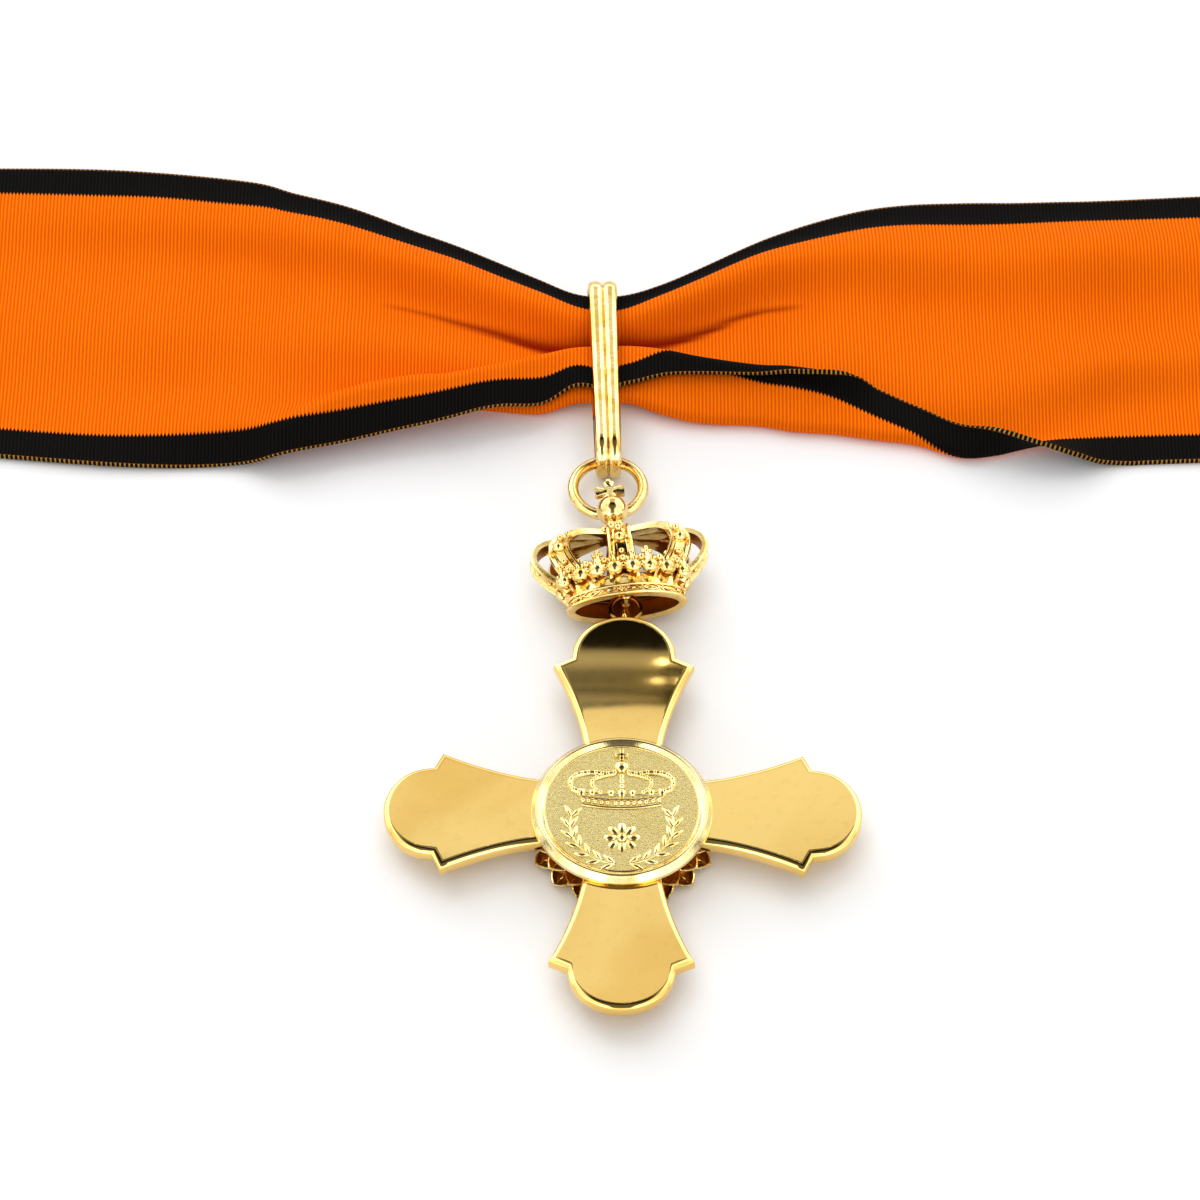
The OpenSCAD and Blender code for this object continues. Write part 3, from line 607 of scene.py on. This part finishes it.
def buildRibbon(plan, rows):
    steps = plan["rowSteps"]
    stations = [rowBetween(rows, i, k / steps) for i in range(len(rows) - 1) for k in range(steps)]
    stations.append(rows[-1])
    front = [[Vector((row[0] * plan["width"], *spot)) for spot in ribbonSection(plan, row)]
             for row in stations]
    for line in front:
        for spot in line[:plan["columns"][0]]:
            spot.z = max(spot.z + ribbonWave(spot.x, line[0].y - spot.y), plan["wall"] / 2)
    first, tail = front[0], front[-1]
    shares = [(tail[0].y - p.y) / (tail[0].y - tail[-1].y) for p in tail]
    leftY, rightY = ((r[0].y + r[-1].y) / 2 for r in (first, tail))
    backY = (leftY + rightY) / 2 + plan["deepLoop"]
    right = loopSide(plan, 1, rightY, backY, shares)
    left = loopSide(plan, -1, leftY, backY, shares)
    lines = front + right + left[::-1]
    cols, count = len(first), len(lines)
    spots = [p + Vector((0, 0, plan["sink"])) for line in lines for p in line]
    faces = [(i * cols + j, i * cols + j + 1, (i + 1) % count * cols + j + 1, (i + 1) % count * cols + j)
             for i in range(count) for j in range(cols - 1)]
    mesh = bpy.data.meshes.new("ribbon")
    mesh.from_pydata([tuple(p) for p in spots], [], faces)
    creaseShades = mesh.attributes.new("creaseShade", "FLOAT", "POINT")
    for i, row in enumerate(stations):  # painted shade in the deep valley to both sides of the bail
        near = 1 - min(abs(row[0] - creaseShadePlan["middle"]) / creaseShadePlan["reach"], 1)
        for j in range(plan["columns"][0] + 1):
            off = (row[2] * j / plan["columns"][0] - row[7]) * plan["width"] + creaseShadePlan["shift"]
            wide = creaseShadePlan["thin"] + creaseShadePlan["above" if off < 0 else "below"] * near ** 1.5
            depth = near ** 0.35 * math.exp(-(off / wide) ** 2) if near > 0 else 0.0
            creaseShades.data[i * cols + j].value = depth
    mapping = mesh.uv_layers.new(name="weave")
    across, along = [], [0.0]
    for line in lines:
        run = [0.0]
        for p, q in zip(line, line[1:]):
            run.append(run[-1] + (q - p).length)
        across.append([d / run[-1] * plan["width"] for d in run])
    for line, after in zip(lines, lines[1:] + lines[:1]):
        along.append(along[-1] + (after[cols // 3] - line[cols // 3]).length)
    for face in mesh.polygons:
        for loop in face.loop_indices:
            v = mesh.loops[loop].vertex_index
            i, j = divmod(v, cols)
            wrap = count if i == 0 and face.index >= (count - 1) * (cols - 1) else i
            mapping.data[loop].uv = (across[i][j], along[wrap])
    obj = bpy.data.objects.new("ribbon", mesh)
    bpy.context.collection.objects.link(obj)
    print("ribbon runs", round(along[-1]), "mm round the loop")
    withModifier(obj, "SOLIDIFY", thickness=plan["cloth"], offset=0)
    return obj


def ribbonLook(name, plan):
    look, n, skin = newLook(name)
    place = n.put("ShaderNodeUVMap", uv_map="weave").outputs[0]
    parts = n.put("ShaderNodeSeparateXYZ")
    n.join(place, parts.inputs[0])
    u, v = parts.outputs[0], parts.outputs[1]
    wander = n.noise(place, 0.35, 2.0)
    turn = n.math("MULTIPLY_ADD", wander, 1.2, n.math("MULTIPLY", v, 2 * math.pi / plan["ribPitch"]))
    rib = n.math("MULTIPLY_ADD", n.math("SINE", turn), 0.5, 0.5)
    edge = n.math("MINIMUM", u, n.math("SUBTRACT", plan["width"], u))
    ragged = n.math("ADD", edge, n.math("MULTIPLY_ADD", rib, 0.35, -0.17))
    unhemmed = n.ease(edge, 0.14, 0.22)
    black = n.math("MULTIPLY", n.ease(ragged, plan["stripe"] + 0.25, plan["stripe"]), unhemmed)
    long = n.put("ShaderNodeMapping")
    n.join(place, long.inputs[0])
    long.inputs["Scale"].default_value = (5.0, 0.9, 1)
    thread = n.noise(long.outputs[0], 1.4, 3.0, 0.6)
    # painted shade and highlight: the orange is darker between the ribs and lighter on them
    deep = n.mix(thread, (0.62, 0.06, 0.0008, 1), (0.78, 0.1, 0.0015, 1))
    lit = n.mix(thread, (1.0, 0.17, 0.002, 1), (1.0, 0.22, 0.003, 1))
    orange = n.mix(n.math("POWER", rib, 0.8), deep, lit)
    creaseShade = n.put("ShaderNodeAttribute", attribute_name="creaseShade").outputs["Fac"]
    # painted shade: the valley's crease darkened to deep red
    orange = n.mix(n.ease(creaseShade, 0.05, 0.95), orange, (0.22, 0.006, 0.0004, 1))
    dots = n.math("SINE", n.math("MULTIPLY", v, 2 * math.pi / plan["hemPitch"]))
    hem = n.mix(n.ease(dots, 0.2, 0.7), (0.006, 0.004, 0.002, 1), (0.4, 0.22, 0.035, 1))
    body = n.mix(unhemmed, hem, orange)
    # painted shade: the black is a little darker between the ribs
    ink = n.mix(rib, (0.0022, 0.002, 0.0018, 1), (0.0065, 0.006, 0.0055, 1))
    n.feed(skin["Base Color"], n.mix(black, body, ink))
    tall = n.math("ADD", n.math("MULTIPLY", rib, 0.8), n.math("MULTIPLY", thread, 0.35))
    n.feed(skin["Normal"], n.bump(tall, 0.00012, 0.5))
    n.feed(skin["Roughness"], n.math("MULTIPLY_ADD", thread, 0.2, 0.7))
    n.feed(skin["Specular IOR Level"], 0.025)
    return look


ribbon = finished(buildRibbon(ribbonPlan, ribbonRows), "woven_ribbon",
                  ribbonLook("ribbonSilk", ribbonPlan), ("ribbon",), 60)


# the plaque on the back of the cross: a matted plate, and a bright rim with the relief
medalPlan = {"centre": (-0.1, -0.4), "radius": 10.05, "low": 4.65, "field": 5.45, "sides": 96,
             "rimSides": 128, "sprayAcross": 5.75, "sprayTall": 5.4, "sprayLow": -2.2, "rosetteY": -4.0}
fieldZ = medalPlan["field"]


def flatBar(name, points, r, steps=6, sides=8):  # half-sunk bead of wire lying on the field
    path = smoothPath([Vector((x, y, fieldZ)) for x, y in points], steps)
    return swept(name, path, roundSection(r, sides), upright)


def beadRow(points, r, gap):  # grains set along a line at an even distance
    path, out, left = smoothPath([Vector((x, y, fieldZ + 0.1)) for x, y in points], 10), [], 0.0
    for p, q in zip(path, path[1:]):
        left -= (q - p).length
        if left <= 0:
            out.append(ball("grain", q, (r, r, r * 0.8), 8))
            left += gap
    return out


def mirrored(points):
    return [(-x, y) for x, y in points]


def crownRelief():  # plain closed crown: moulded band, grains, five arches, orb and small cross
    parts = []
    lower = [(-4.35, 0.55), (-2.2, 0.18), (0, 0.06), (2.2, 0.18), (4.35, 0.55)]
    upper = [(x * 1.06, y + 1.1) for x, y in lower]
    rimLine = [(x * 1.12, y + 1.75) for x, y in lower]
    parts += [flatBar("band", lower, 0.22), flatBar("band", upper, 0.17), flatBar("band", rimLine, 0.15)]
    parts += beadRow([(x * 1.02, y + 0.58) for x, y in lower], 0.27, 0.72)
    outer = [(4.7, 2.3), (5.55, 2.75), (5.75, 3.7), (5.0, 4.6), (3.4, 4.95), (1.7, 4.7), (0.75, 4.9)]
    inner = [(2.35, 2.1), (3.2, 2.9), (3.2, 3.9), (2.2, 4.45), (0.9, 4.75)]
    for line in (outer, mirrored(outer)):
        parts += [flatBar("arch", line, 0.34), *beadRow(line, 0.36, 0.74)]
    for line in (inner, mirrored(inner)):
        parts += [flatBar("arch", line, 0.26), *beadRow(line, 0.3, 0.66)]
    parts += beadRow([(0, 2.2), (0, 3.4), (0, 4.6)], 0.36, 0.7)
    for x, y, r in ((-4.5, 2.2, 0.5), (-3.3, 2.15, 0.42), (-1.2, 2.05, 0.42), (0, 2.05, 0.5),
                    (1.2, 2.05, 0.42), (3.3, 2.15, 0.42), (4.5, 2.2, 0.5)):
        parts.append(ball("leaf", Vector((x, y, fieldZ + 0.05)), (r, r * 1.15, 0.3), 10))
    parts.append(ball("orb", Vector((0, 5.65, fieldZ + 0.1)), (0.8, 0.8, 0.4), 14))
    parts.append(flatBar("belt", [(-0.8, 5.65), (0, 5.5), (0.8, 5.65)], 0.12))
    for x, y, wide, tall in ((0, 7.35, 0.24, 0.8), (0, 7.3, 0.75, 0.24)):
        bpy.ops.mesh.primitive_cube_add(size=1)
        arm = named("finial")
        arm.data.transform(Matrix.Translation((x, y, fieldZ + 0.1))
                           @ Matrix.Diagonal((wide * 2, tall * 2, 0.4, 1)))
        withModifier(arm, "BEVEL", width=0.1, segments=2)
        parts.append(arm)
    return parts


def sprayPlace(plan, a):
    return plan["sprayAcross"] * math.cos(a), plan["sprayLow"] + plan["sprayTall"] * math.sin(a)


def laurelRelief():  # rosette between two sprays, in the place under the crown
    middle = (0, medalPlan["rosetteY"], fieldZ)
    parts = [ball("heart", Vector(middle) + upright * 0.1, (0.62, 0.62, 0.3), 12)]
    petal = ball("petal", Vector((1.32, 0, 0)), (0.75, 0.48, 0.26), 10)
    for k in range(8):
        turn = Matrix.Translation(middle) @ Matrix.Rotation(math.pi / 4 * k, 4, "Z")
        parts.append(copied(petal, turn))
    bpy.data.objects.remove(petal)
    leaf = ball("leaf", Vector((0.85, 0, 0)), (0.9, 0.34, 0.2), 10)
    for vertex in leaf.data.vertices:  # drawn to a point at both ends
        vertex.co.y *= 1 - 0.45 * abs(vertex.co.x - 0.85)
    for side in (1, -1):
        for k in range(7):
            a = math.radians(-82 + 15.5 * k)
            for lean in (-34, 34):
                turn = math.radians(math.degrees(a) + 90 + lean)
                place = Matrix.Translation((*sprayPlace(medalPlan, a), fieldZ + 0.02))
                whole = Matrix.Diagonal((side, 1, 1, 1)) @ place @ Matrix.Rotation(turn, 4, "Z")
                parts.append(copied(leaf, whole))
        line = [sprayPlace(medalPlan, math.radians(a)) for a in range(-84, 20, 12)]
        stem = [(side * x, y) for x, y in line]
        parts.append(flatBar("stem", stem, 0.13, 3))
    bpy.data.objects.remove(leaf)
    return parts


def buildMedallion(plan):
    r, low, field = plan["radius"], plan["low"], plan["field"]
    outline = [Vector(onCircle(r, k, plan["sides"])) for k in range(plan["sides"])]
    steps = [(0.12, low), (0.12, low + 0.5), (0.5, low + 0.62), (0.9, field), (1.7, field)]
    plate = raisedPlate("medallion", outline, steps)
    profile = [(-0.12, 0), (0, 0.1), (0, 0.5), (-0.06, 0.6), (-0.42, 0.88), (-0.5, 1.02), (-0.6, 1.15),
               (-0.68, 1.2), (-0.86, 1.2), (-0.95, 1.14), (-1.32, 0.9), (-1.38, 0.83), (-1.46, 0.82),
               (-1.5, 0.88), (-1.56, 0.88), (-1.6, 0.78), (-1.2, 0.5), (-0.4, 0.3)]
    spots = [Vector((*onCircle(r, k, plan["rimSides"]), low)) for k in range(plan["rimSides"])]
    rim = swept("rim", spots, [(z, -out) for out, z in profile], upright, True)
    relief = joined([rim, *crownRelief(), *laurelRelief()], "relief")
    for obj in (plate, relief):
        obj.data.transform(Matrix.Translation((*plan["centre"], 0)))
    return plate, relief


plate, relief = buildMedallion(medalPlan)
finished(plate, "struck_medallion", fieldGold, ("back_medallion",), 50)
finished(relief, "medallion_relief", reliefGold, (), 50)


# the ring of round wire
ringPlan = {"centre": (-1.6, 48.2, 2.35), "radius": 4.1, "wire": 0.65, "sides": 96}

spots = [Vector((*onCircle(ringPlan["radius"], k, ringPlan["sides"]), 0)) for k in range(ringPlan["sides"])]
ring = swept("ring", spots, roundSection(ringPlan["wire"], 20), upright, True)
ring.data.transform(Matrix.Translation(ringPlan["centre"]))
finished(ring, "wire_ring", castGold, ("suspension_ring",), 60)

# the bail: a long loop of strip with two reeds along it, a little wider at its top
bailPlan = {"footX": -1.5, "topX": -2.3, "footY": 49.93, "length": 28.8, "height": 6.4, "strip": 0.9,
            "topWidth": 3.5, "footWidth": 3.0, "lift": 0.05,
            "reedAt": 0.245, "reedHalf": 0.235, "reedTall": 0.55}


def buildBail(plan):
    r = (plan["height"] - plan["strip"]) / 2
    low, high = plan["footY"] + plan["height"] / 2, plan["footY"] + plan["length"] - plan["height"] / 2
    middle = plan["height"] / 2 + plan["lift"]
    places = []
    for base, start in ((low, 180), (high, 0)):
        for k in range(25):
            a = math.radians(start + 180 * k / 24)
            places.append((base + r * math.sin(a), middle + r * math.cos(a)))
        far, near = (low, high) if base == low else (high, low)
        for k in range(1, 16):
            places.append((far + (near - far) * k / 16, middle + (r if base == low else -r)))
    path, widths = [], []
    for y, z in places:
        f = (y - plan["footY"]) / plan["length"]
        path.append(Vector((plan["footX"] + (plan["topX"] - plan["footX"]) * f, y, z)))
        widths.append(plan["footWidth"] + (plan["topWidth"] - plan["footWidth"]) * f)
    section = [(-0.5, -0.5), (-0.5, -0.1)]
    for centre in (-plan["reedAt"], plan["reedAt"]):
        for degrees in range(180, -1, -15):
            a = math.radians(degrees)
            section.append((centre + plan["reedHalf"] * math.cos(a), plan["reedTall"] * math.sin(a) ** 0.8))
    section += [(0.5, -0.1), (0.5, -0.5)]
    return path, widths, [(x, y * plan["strip"]) for x, y in section]


path, widths, section = buildBail(bailPlan)
bail = swept("bail", path, section, sideways, True, widths, [1] * len(path))
finished(bail, "reeded_bail", castGold, ("ribbon_bail",), 40)


# the crown, shaped standing on its base and then laid on its back
crownPlan = {"baseHalf": 6.75, "baseFlat": 0.41, "archHalf": 9.9, "archFlat": 0.338, "tall": 10.6,
             "archWidth": 1.8, "leaves": 16, "arches": 8, "ovals": 13, "orb": 1.85, "orbHeight": 13.9,
             "archFace": 0.5, "ceiling": 2.75, "place": (0.6, 28.95, 4.2), "turn": 7.0, "lean": 2.0}
archLine = [(0.655, 0.2), (0.74, 0.33), (0.91, 0.5), (1.0, 0.68), (0.94, 0.84), (0.76, 0.92),
            (0.42, 0.96), (0.1, 0.98)]


def ovalPoint(r, flat, a):
    return Vector((r * math.cos(a), r * flat * math.sin(a), 0))


def roundOval(half, flat, out, height, count, shift=0.0):  # even places round an oval, facing outwards
    fine = [ovalPoint(half, flat, 2 * math.pi * k / 720) for k in range(721)]
    run = [0.0]
    for p, q in zip(fine, fine[1:]):
        run.append(run[-1] + (q - p).length)
    places = []
    for i in range(count):
        goal = run[-1] * ((i + shift) % count) / count
        k = min(range(721), key=lambda j: abs(run[j] - goal))
        a = 2 * math.pi * k / 720
        face = Vector((math.cos(a) * flat, math.sin(a), 0)).normalized()
        side = upright.cross(face)
        spot = fine[k] + face * out + Vector((0, 0, height))
        places.append(Matrix(((side.x, 0, face.x, spot.x), (side.y, 0, face.y, spot.y),
                              (0, 1, 0, spot.z), (0, 0, 0, 1))))
    return places


def scattered(parts, places):  # a small cluster joined and set at every place, each with its own mesh
    one = joined(parts, "cluster")
    out = [copied(one, place) for place in places]
    bpy.data.objects.remove(one)
    return out


def crownBand(plan):
    path = [ovalPoint(plan["baseHalf"], plan["baseFlat"], 2 * math.pi * k / 120) for k in range(120)]
    outside = [(-0.75, 0.06), (-0.3, 0), (-0.02, 0), (0.16, 0.07), (0.24, 0.18), (0.18, 0.3),
               (0.02, 0.38), (-0.14, 0.44), (-0.1, 1.12), (0.02, 1.16), (0.16, 1.22), (0.22, 1.33),
               (0.15, 1.44), (0.07, 1.5), (0.03, 1.75), (0.0, 2.1),
               (-0.03, 2.5), (0.04, 2.78), (0.0, 2.9), (-0.1, 2.92), (-0.5, 2.5), (-0.75, 1.85)]
    parts = [swept("band", path, [(z, -out) for out, z in outside], upright, True)]
    bpy.ops.mesh.primitive_torus_add(major_segments=18, minor_segments=6, major_radius=1, minor_radius=0.17)
    lozenge = named("lozenge")
    for vertex in lozenge.data.vertices:  # round ring drawn out to a pointed oval
        vertex.co.x *= 0.86
        vertex.co.y *= 0.34 * (1.15 - 0.5 * min(abs(vertex.co.x), 1))
        vertex.co.z *= 0.7
    seed = ball("seed", Vector((0, 0, 0.02)), (0.5, 0.14, 0.12), 10)
    parts += scattered([lozenge, seed],
                       roundOval(plan["baseHalf"], plan["baseFlat"], -0.08, 0.84, plan["ovals"]))
    # the ceiling closes the band inside and takes the painted shade colour, standing for the shadow within
    # the crown
    bpy.ops.mesh.primitive_circle_add(vertices=96, radius=1, fill_type="NGON")
    ceiling = named("ceiling")
    across, deep = plan["baseHalf"] - 0.35, plan["baseHalf"] * plan["baseFlat"] - 0.35
    ceiling.data.transform(Matrix.Translation((0, 0, plan["ceiling"]))
                           @ Matrix.Diagonal((across, deep, -1, 1)))
    parts.append(ceiling)
    tie = [ball("tie", Vector((x, y, 0)), (0.16, 0.16, 0.14), 8)
           for x, y in ((0, 0.22), (0, -0.22), (-0.17, 0), (0.17, 0))]
    parts += scattered(tie, roundOval(plan["baseHalf"], plan["baseFlat"], -0.08, 0.84, plan["ovals"], 0.5))
    return parts


def crownLeaves(plan):
    bowl = ball("bowl", Vector((0, 0, 0)), (1.02, 1.0, 0.8), 20)
    for vertex in bowl.data.vertices:  # a cup: round below and nearly flat above
        if vertex.co.y > 0.25:
            vertex.co.y = 0.25 + (vertex.co.y - 0.25) * 0.25
    leaf = [bowl, ball("rib", Vector((0, 0.85, 0.1)), (0.3, 0.95, 0.42), 10),
            *(ball("lobe", Vector((x, 0.75, 0)), (0.34, 0.7, 0.4), 10) for x in (-0.6, 0.6)),
            ball("tip", Vector((0, 1.75, 0.1)), (0.36, 0.42, 0.34), 10)]
    half, flat, count = plan["baseHalf"] + 0.2, plan["baseFlat"], plan["leaves"]
    parts = scattered(leaf, roundOval(half, flat, 0.5, 3.55, count, 0.5))
    drop = [ball("pearl", Vector((0, 0.25, 0)), (0.44, 0.44, 0.44), 12),
            ball("cup", Vector((0, -0.45, -0.15)), (0.3, 0.35, 0.25), 8)]
    parts += scattered(drop, roundOval(half, flat, 0.85, 4.15, count))
    for k in range(plan["arches"]):  # trefoil on a stalk in each gap between two arches
        a = 2 * math.pi * (k + 0.5) / plan["arches"]
        face = Vector((math.cos(a) * plan["baseFlat"], math.sin(a), 0)).normalized()
        side = upright.cross(face)
        foot = ovalPoint(plan["baseHalf"] + 0.3, plan["baseFlat"], a) + face * 0.3
        path = [foot + Vector((0, 0, h)) + face * 0.1 * h for h in (3.0, 3.8, 4.6, 5.2)]
        parts.append(swept("stalk", path, roundSection(1, 8), side, widths=[0.55, 0.4, 0.26, 0.2]))
        top = path[-1]
        for x, y, r in ((-0.42, 0.05, 0.27), (0.42, 0.05, 0.27), (0, 0.5, 0.3), (0, 0.05, 0.34)):
            parts.append(ball("trefoil", top + side * x + Vector((0, 0, y)), (r, r, r), 10))
    return parts


def crownArches(plan):
    parts = []
    half = [(1.0, -0.32), (1.0, 0.2), (0.95, 0.36), (0.84, 0.42), (0.74, 0.34), (0.67, 0.12),
            (0.5, 0.0), (0.4, 0.05), (0.3, 0.0), (0.12, 0.0)]
    section = half + [(-x, y) for x, y in reversed(half)] + [(-0.5, -0.42), (0.5, -0.42)]
    line = smoothPath([Vector((x, y, 0)) for x, y in archLine], 5)
    for k in range(plan["arches"]):
        a = 2 * math.pi * k / plan["arches"]
        side = Vector((-math.sin(a), math.cos(a) * plan["archFace"], 0)).normalized()
        path, widths = [], []
        for i, spot in enumerate(line):
            f = i / (len(line) - 1)
            flat = plan["baseFlat"] + (plan["archFlat"] - plan["baseFlat"]) * min(f * 4, 1)
            path.append(ovalPoint(plan["archHalf"] * spot.x, flat, a) + Vector((0, 0, plan["tall"] * spot.y)))
            widths.append(plan["archWidth"] * (1 - 0.45 * f) * (0.75 + 0.25 * abs(math.sin(a))))
        parts.append(swept("arch", path, section, side, widths=widths, heights=[1] * len(path)))
        beads = [(16, 0.6, 0.22), (20, 0.44, 0.3), (24, 0.38, 0.32), (28, 0.32, 0.28), (11, 0.4, 0.3)]
        if abs(math.sin(a)) < 0.1:  # the side arches carry only small grains
            beads = [(place, 0.34, 0.12) for place in (8, 12, 16, 20, 24)]
        for place, r, lift in beads:
            tangent = (path[place + 1] - path[place - 1]).normalized()
            spot = path[place] + side.cross(tangent) * lift
            parts.append(ball("bead", spot, (r, r, r), 12))
            if r > 0.5:  # the biggest bead sits in a small collar
                seat = path[place] + side.cross(tangent) * 0.1
                parts.append(ball("collar", seat, (r * 1.3, r * 1.3, r * 1.1), 12))
    return parts


def crownTop(plan):
    tall, orbZ = plan["tall"], plan["orbHeight"]
    orbSpot, orbTop = Vector((0, -0.2, orbZ)), orbZ + plan["orb"]
    parts = [ball("orb", orbSpot, (plan["orb"],) * 3, 32)]
    neck = [Vector((0, y, tall + z)) for y, z in ((0, -0.7), (0, 0.6), (0, 1.6), (-0.1, 2.2))]
    parts.append(swept("neck", neck, roundSection(1, 16), sideways, widths=[1.7, 1.45, 0.95, 0.9]))
    fronds = ((8, 1.75, -0.05, (0.62, 0.5, 0.42), 0), (8, 1.35, 0.55, (0.5, 0.42, 0.42), 0.5),
              (6, 0.95, 1.15, (0.42, 0.36, 0.4), 0))
    for count, r, height, size, tip in fronds:
        for k in range(count):
            a = 2 * math.pi * (k + tip) / count
            spot = Vector((r * math.cos(a), 0.85 * r * math.sin(a), tall + height))
            parts.append(ball("frond", spot, size, 10))
    bar = [Vector((x, -0.3, orbTop + 0.85)) for x in (-1.72, -1.6, -1.3, -0.7, 0, 0.7, 1.3, 1.6, 1.72)]
    square = [(1, 0.6), (0.8, 0.75), (-0.8, 0.75), (-1, 0.6),
              (-1, -0.6), (-0.8, -0.75), (0.8, -0.75), (1, -0.6)]
    parts.append(swept("bar", bar, square, upright,
                       widths=[0.5, 0.68, 0.62, 0.42, 0.4, 0.42, 0.62, 0.68, 0.5], heights=[0.55] * 9))
    post = [Vector((0, -0.3, orbTop + z)) for z in (-0.3, 0.15, 0.5, 1.2, 1.6, 2.0, 2.15)]
    parts.append(swept("post", post, square, sideways,
                       widths=[0.85, 0.6, 0.4, 0.35, 0.5, 0.62, 0.45], heights=[0.6] * 7))
    parts.append(ball("knob", Vector((0, -0.3, orbTop + 2.3)), (0.42, 0.42, 0.4), 12))
    bpy.ops.mesh.primitive_torus_add(major_segments=40, minor_segments=14, major_radius=1.35,
                                     minor_radius=0.5, location=(0, 2.35, orbZ + 1.28),
                                     rotation=(0, math.pi / 2, 0))
    eye = named("crownEye")
    bpy.ops.object.transform_apply()
    parts.append(eye)
    root = [Vector((0, y, orbZ + z))
            for y, z in ((0.7, -1.8), (1.3, -1.0), (1.9, -0.35), (2.1, 0.1))]
    parts.append(swept("root", root, roundSection(1, 12), sideways, widths=[0.7, 0.62, 0.5, 0.45]))
    hole = plan["baseHalf"] * plan["baseFlat"] - 0.6
    pin = [Vector((0, y, 1.27)) for y in (-hole, -1.1, -0.4, 0.4, 1.1, hole)]
    parts.append(swept("pin", pin, roundSection(1, 12), upright,
                       widths=[0.5, 0.4, 0.38, 0.38, 0.4, 0.5]))
    for y in (-0.75, 0.75):
        parts.append(ball("stop", Vector((0, y, 1.27)), (0.6, 0.3, 0.6), 12))
    return parts


def crownShadeFaces(spot, face):  # painted shade on faces that look inwards and on the ceiling
    if not -0.06 < spot.z < 0.3 and spot.z < 11.2:
        wide = Vector((spot.x, spot.y * 4))
        inwards = face.x * spot.x + face.y * spot.y * 4 < -0.3 * wide.length
        return float(inwards or abs(spot.z - crownPlan["ceiling"]) < 0.01)
    return 0.0


crown = joined([*crownBand(crownPlan), *crownLeaves(crownPlan), *crownArches(crownPlan),
                *crownTop(crownPlan)], "crown")
markPaintedShade(crown, crownShadeFaces)
crown.data.transform(Matrix.Translation(crownPlan["place"])
                     @ Matrix.Rotation(math.radians(crownPlan["turn"]), 4, "Z")
                     @ Matrix.Rotation(math.radians(crownPlan["lean"] - 90), 4, "X"))
finished(crown, "cast_crown", castGold, ("crown",), 40)


# the wreath under the cross: two rows of hollow leaves round a plain plate
wreathPlan = {"tip": 10.85, "leaf": 2.6, "leafSides": 18, "halfWidth": 1.5, "count": 20, "low": 0.32,
              "plate": 8.6, "plateSides": 80, "top": 2.7, "lean": 8.0,
              "rows": ((0, 0.75, 0.5), (-0.75, 1.45, 0.0))}  # shift out, lift, turn in shares of a leaf


def wreathLeaf(plan):  # a broad leaf with a point, a raised edge and a vein
    shape = []
    for k in range(plan["leafSides"]):
        a = 2 * math.pi * k / plan["leafSides"]
        wide = plan["halfWidth"] * math.sin(a) * (1 - 0.3 * math.cos(a))
        shape.append(Vector((plan["leaf"] / 2 * math.cos(a) * (1.12 if k == 0 else 1), wide)))
    leaf = raisedPlate("leaf", shape, [(0.4, -0.25), (0.08, 0), (0, 0.28), (0.06, 0.4), (0.2, 0.42),
                                       (0.32, 0.3), (0.55, -0.02), (0.8, -0.12)])
    # painted shade: the inner face of each leaf, within its raised edge, takes the shade colour
    markPaintedShade(leaf, lambda spot, face: float(face.z > 0.2 and spot.x ** 2 + (spot.y / 1.15) ** 2 < 1))
    vein = swept("vein", [Vector((x, 0, -0.1)) for x in (-1.1, -0.4, 0.3, 1.0)], roundSection(0.12, 6),
                 Vector((0, 1, 0)))
    return joined([leaf, vein], "leaf")


def buildWreath(plan):
    outline = [Vector(onCircle(plan["plate"], k, plan["plateSides"])) for k in range(plan["plateSides"])]
    plate = raisedPlate("wreath", outline, [(0.4, 1.0), (0, 1.3), (0, 2.4), (0.4, plan["top"])])
    # painted shade: the whole plate under the cross takes the shade colour
    markPaintedShade(plate, lambda spot, face: 1.0)
    parts = [plate]
    for out, lift, shift in plan["rows"]:
        leaf = wreathLeaf(plan)
        leaf.data.transform(Matrix.Translation((plan["tip"] + out - plan["leaf"] / 2, 0, plan["low"] + lift))
                            @ Matrix.Rotation(math.radians(plan["lean"]), 4, "Y"))
        for k in range(plan["count"]):
            turn = 2 * math.pi * (k + shift) / plan["count"]
            parts.append(copied(leaf, Matrix.Rotation(turn, 4, "Z")))
        bpy.data.objects.remove(leaf)
    return joined(parts, "wreath")


finished(buildWreath(wreathPlan), "leafy_wreath", castGold, ("front_wreath",), 40)
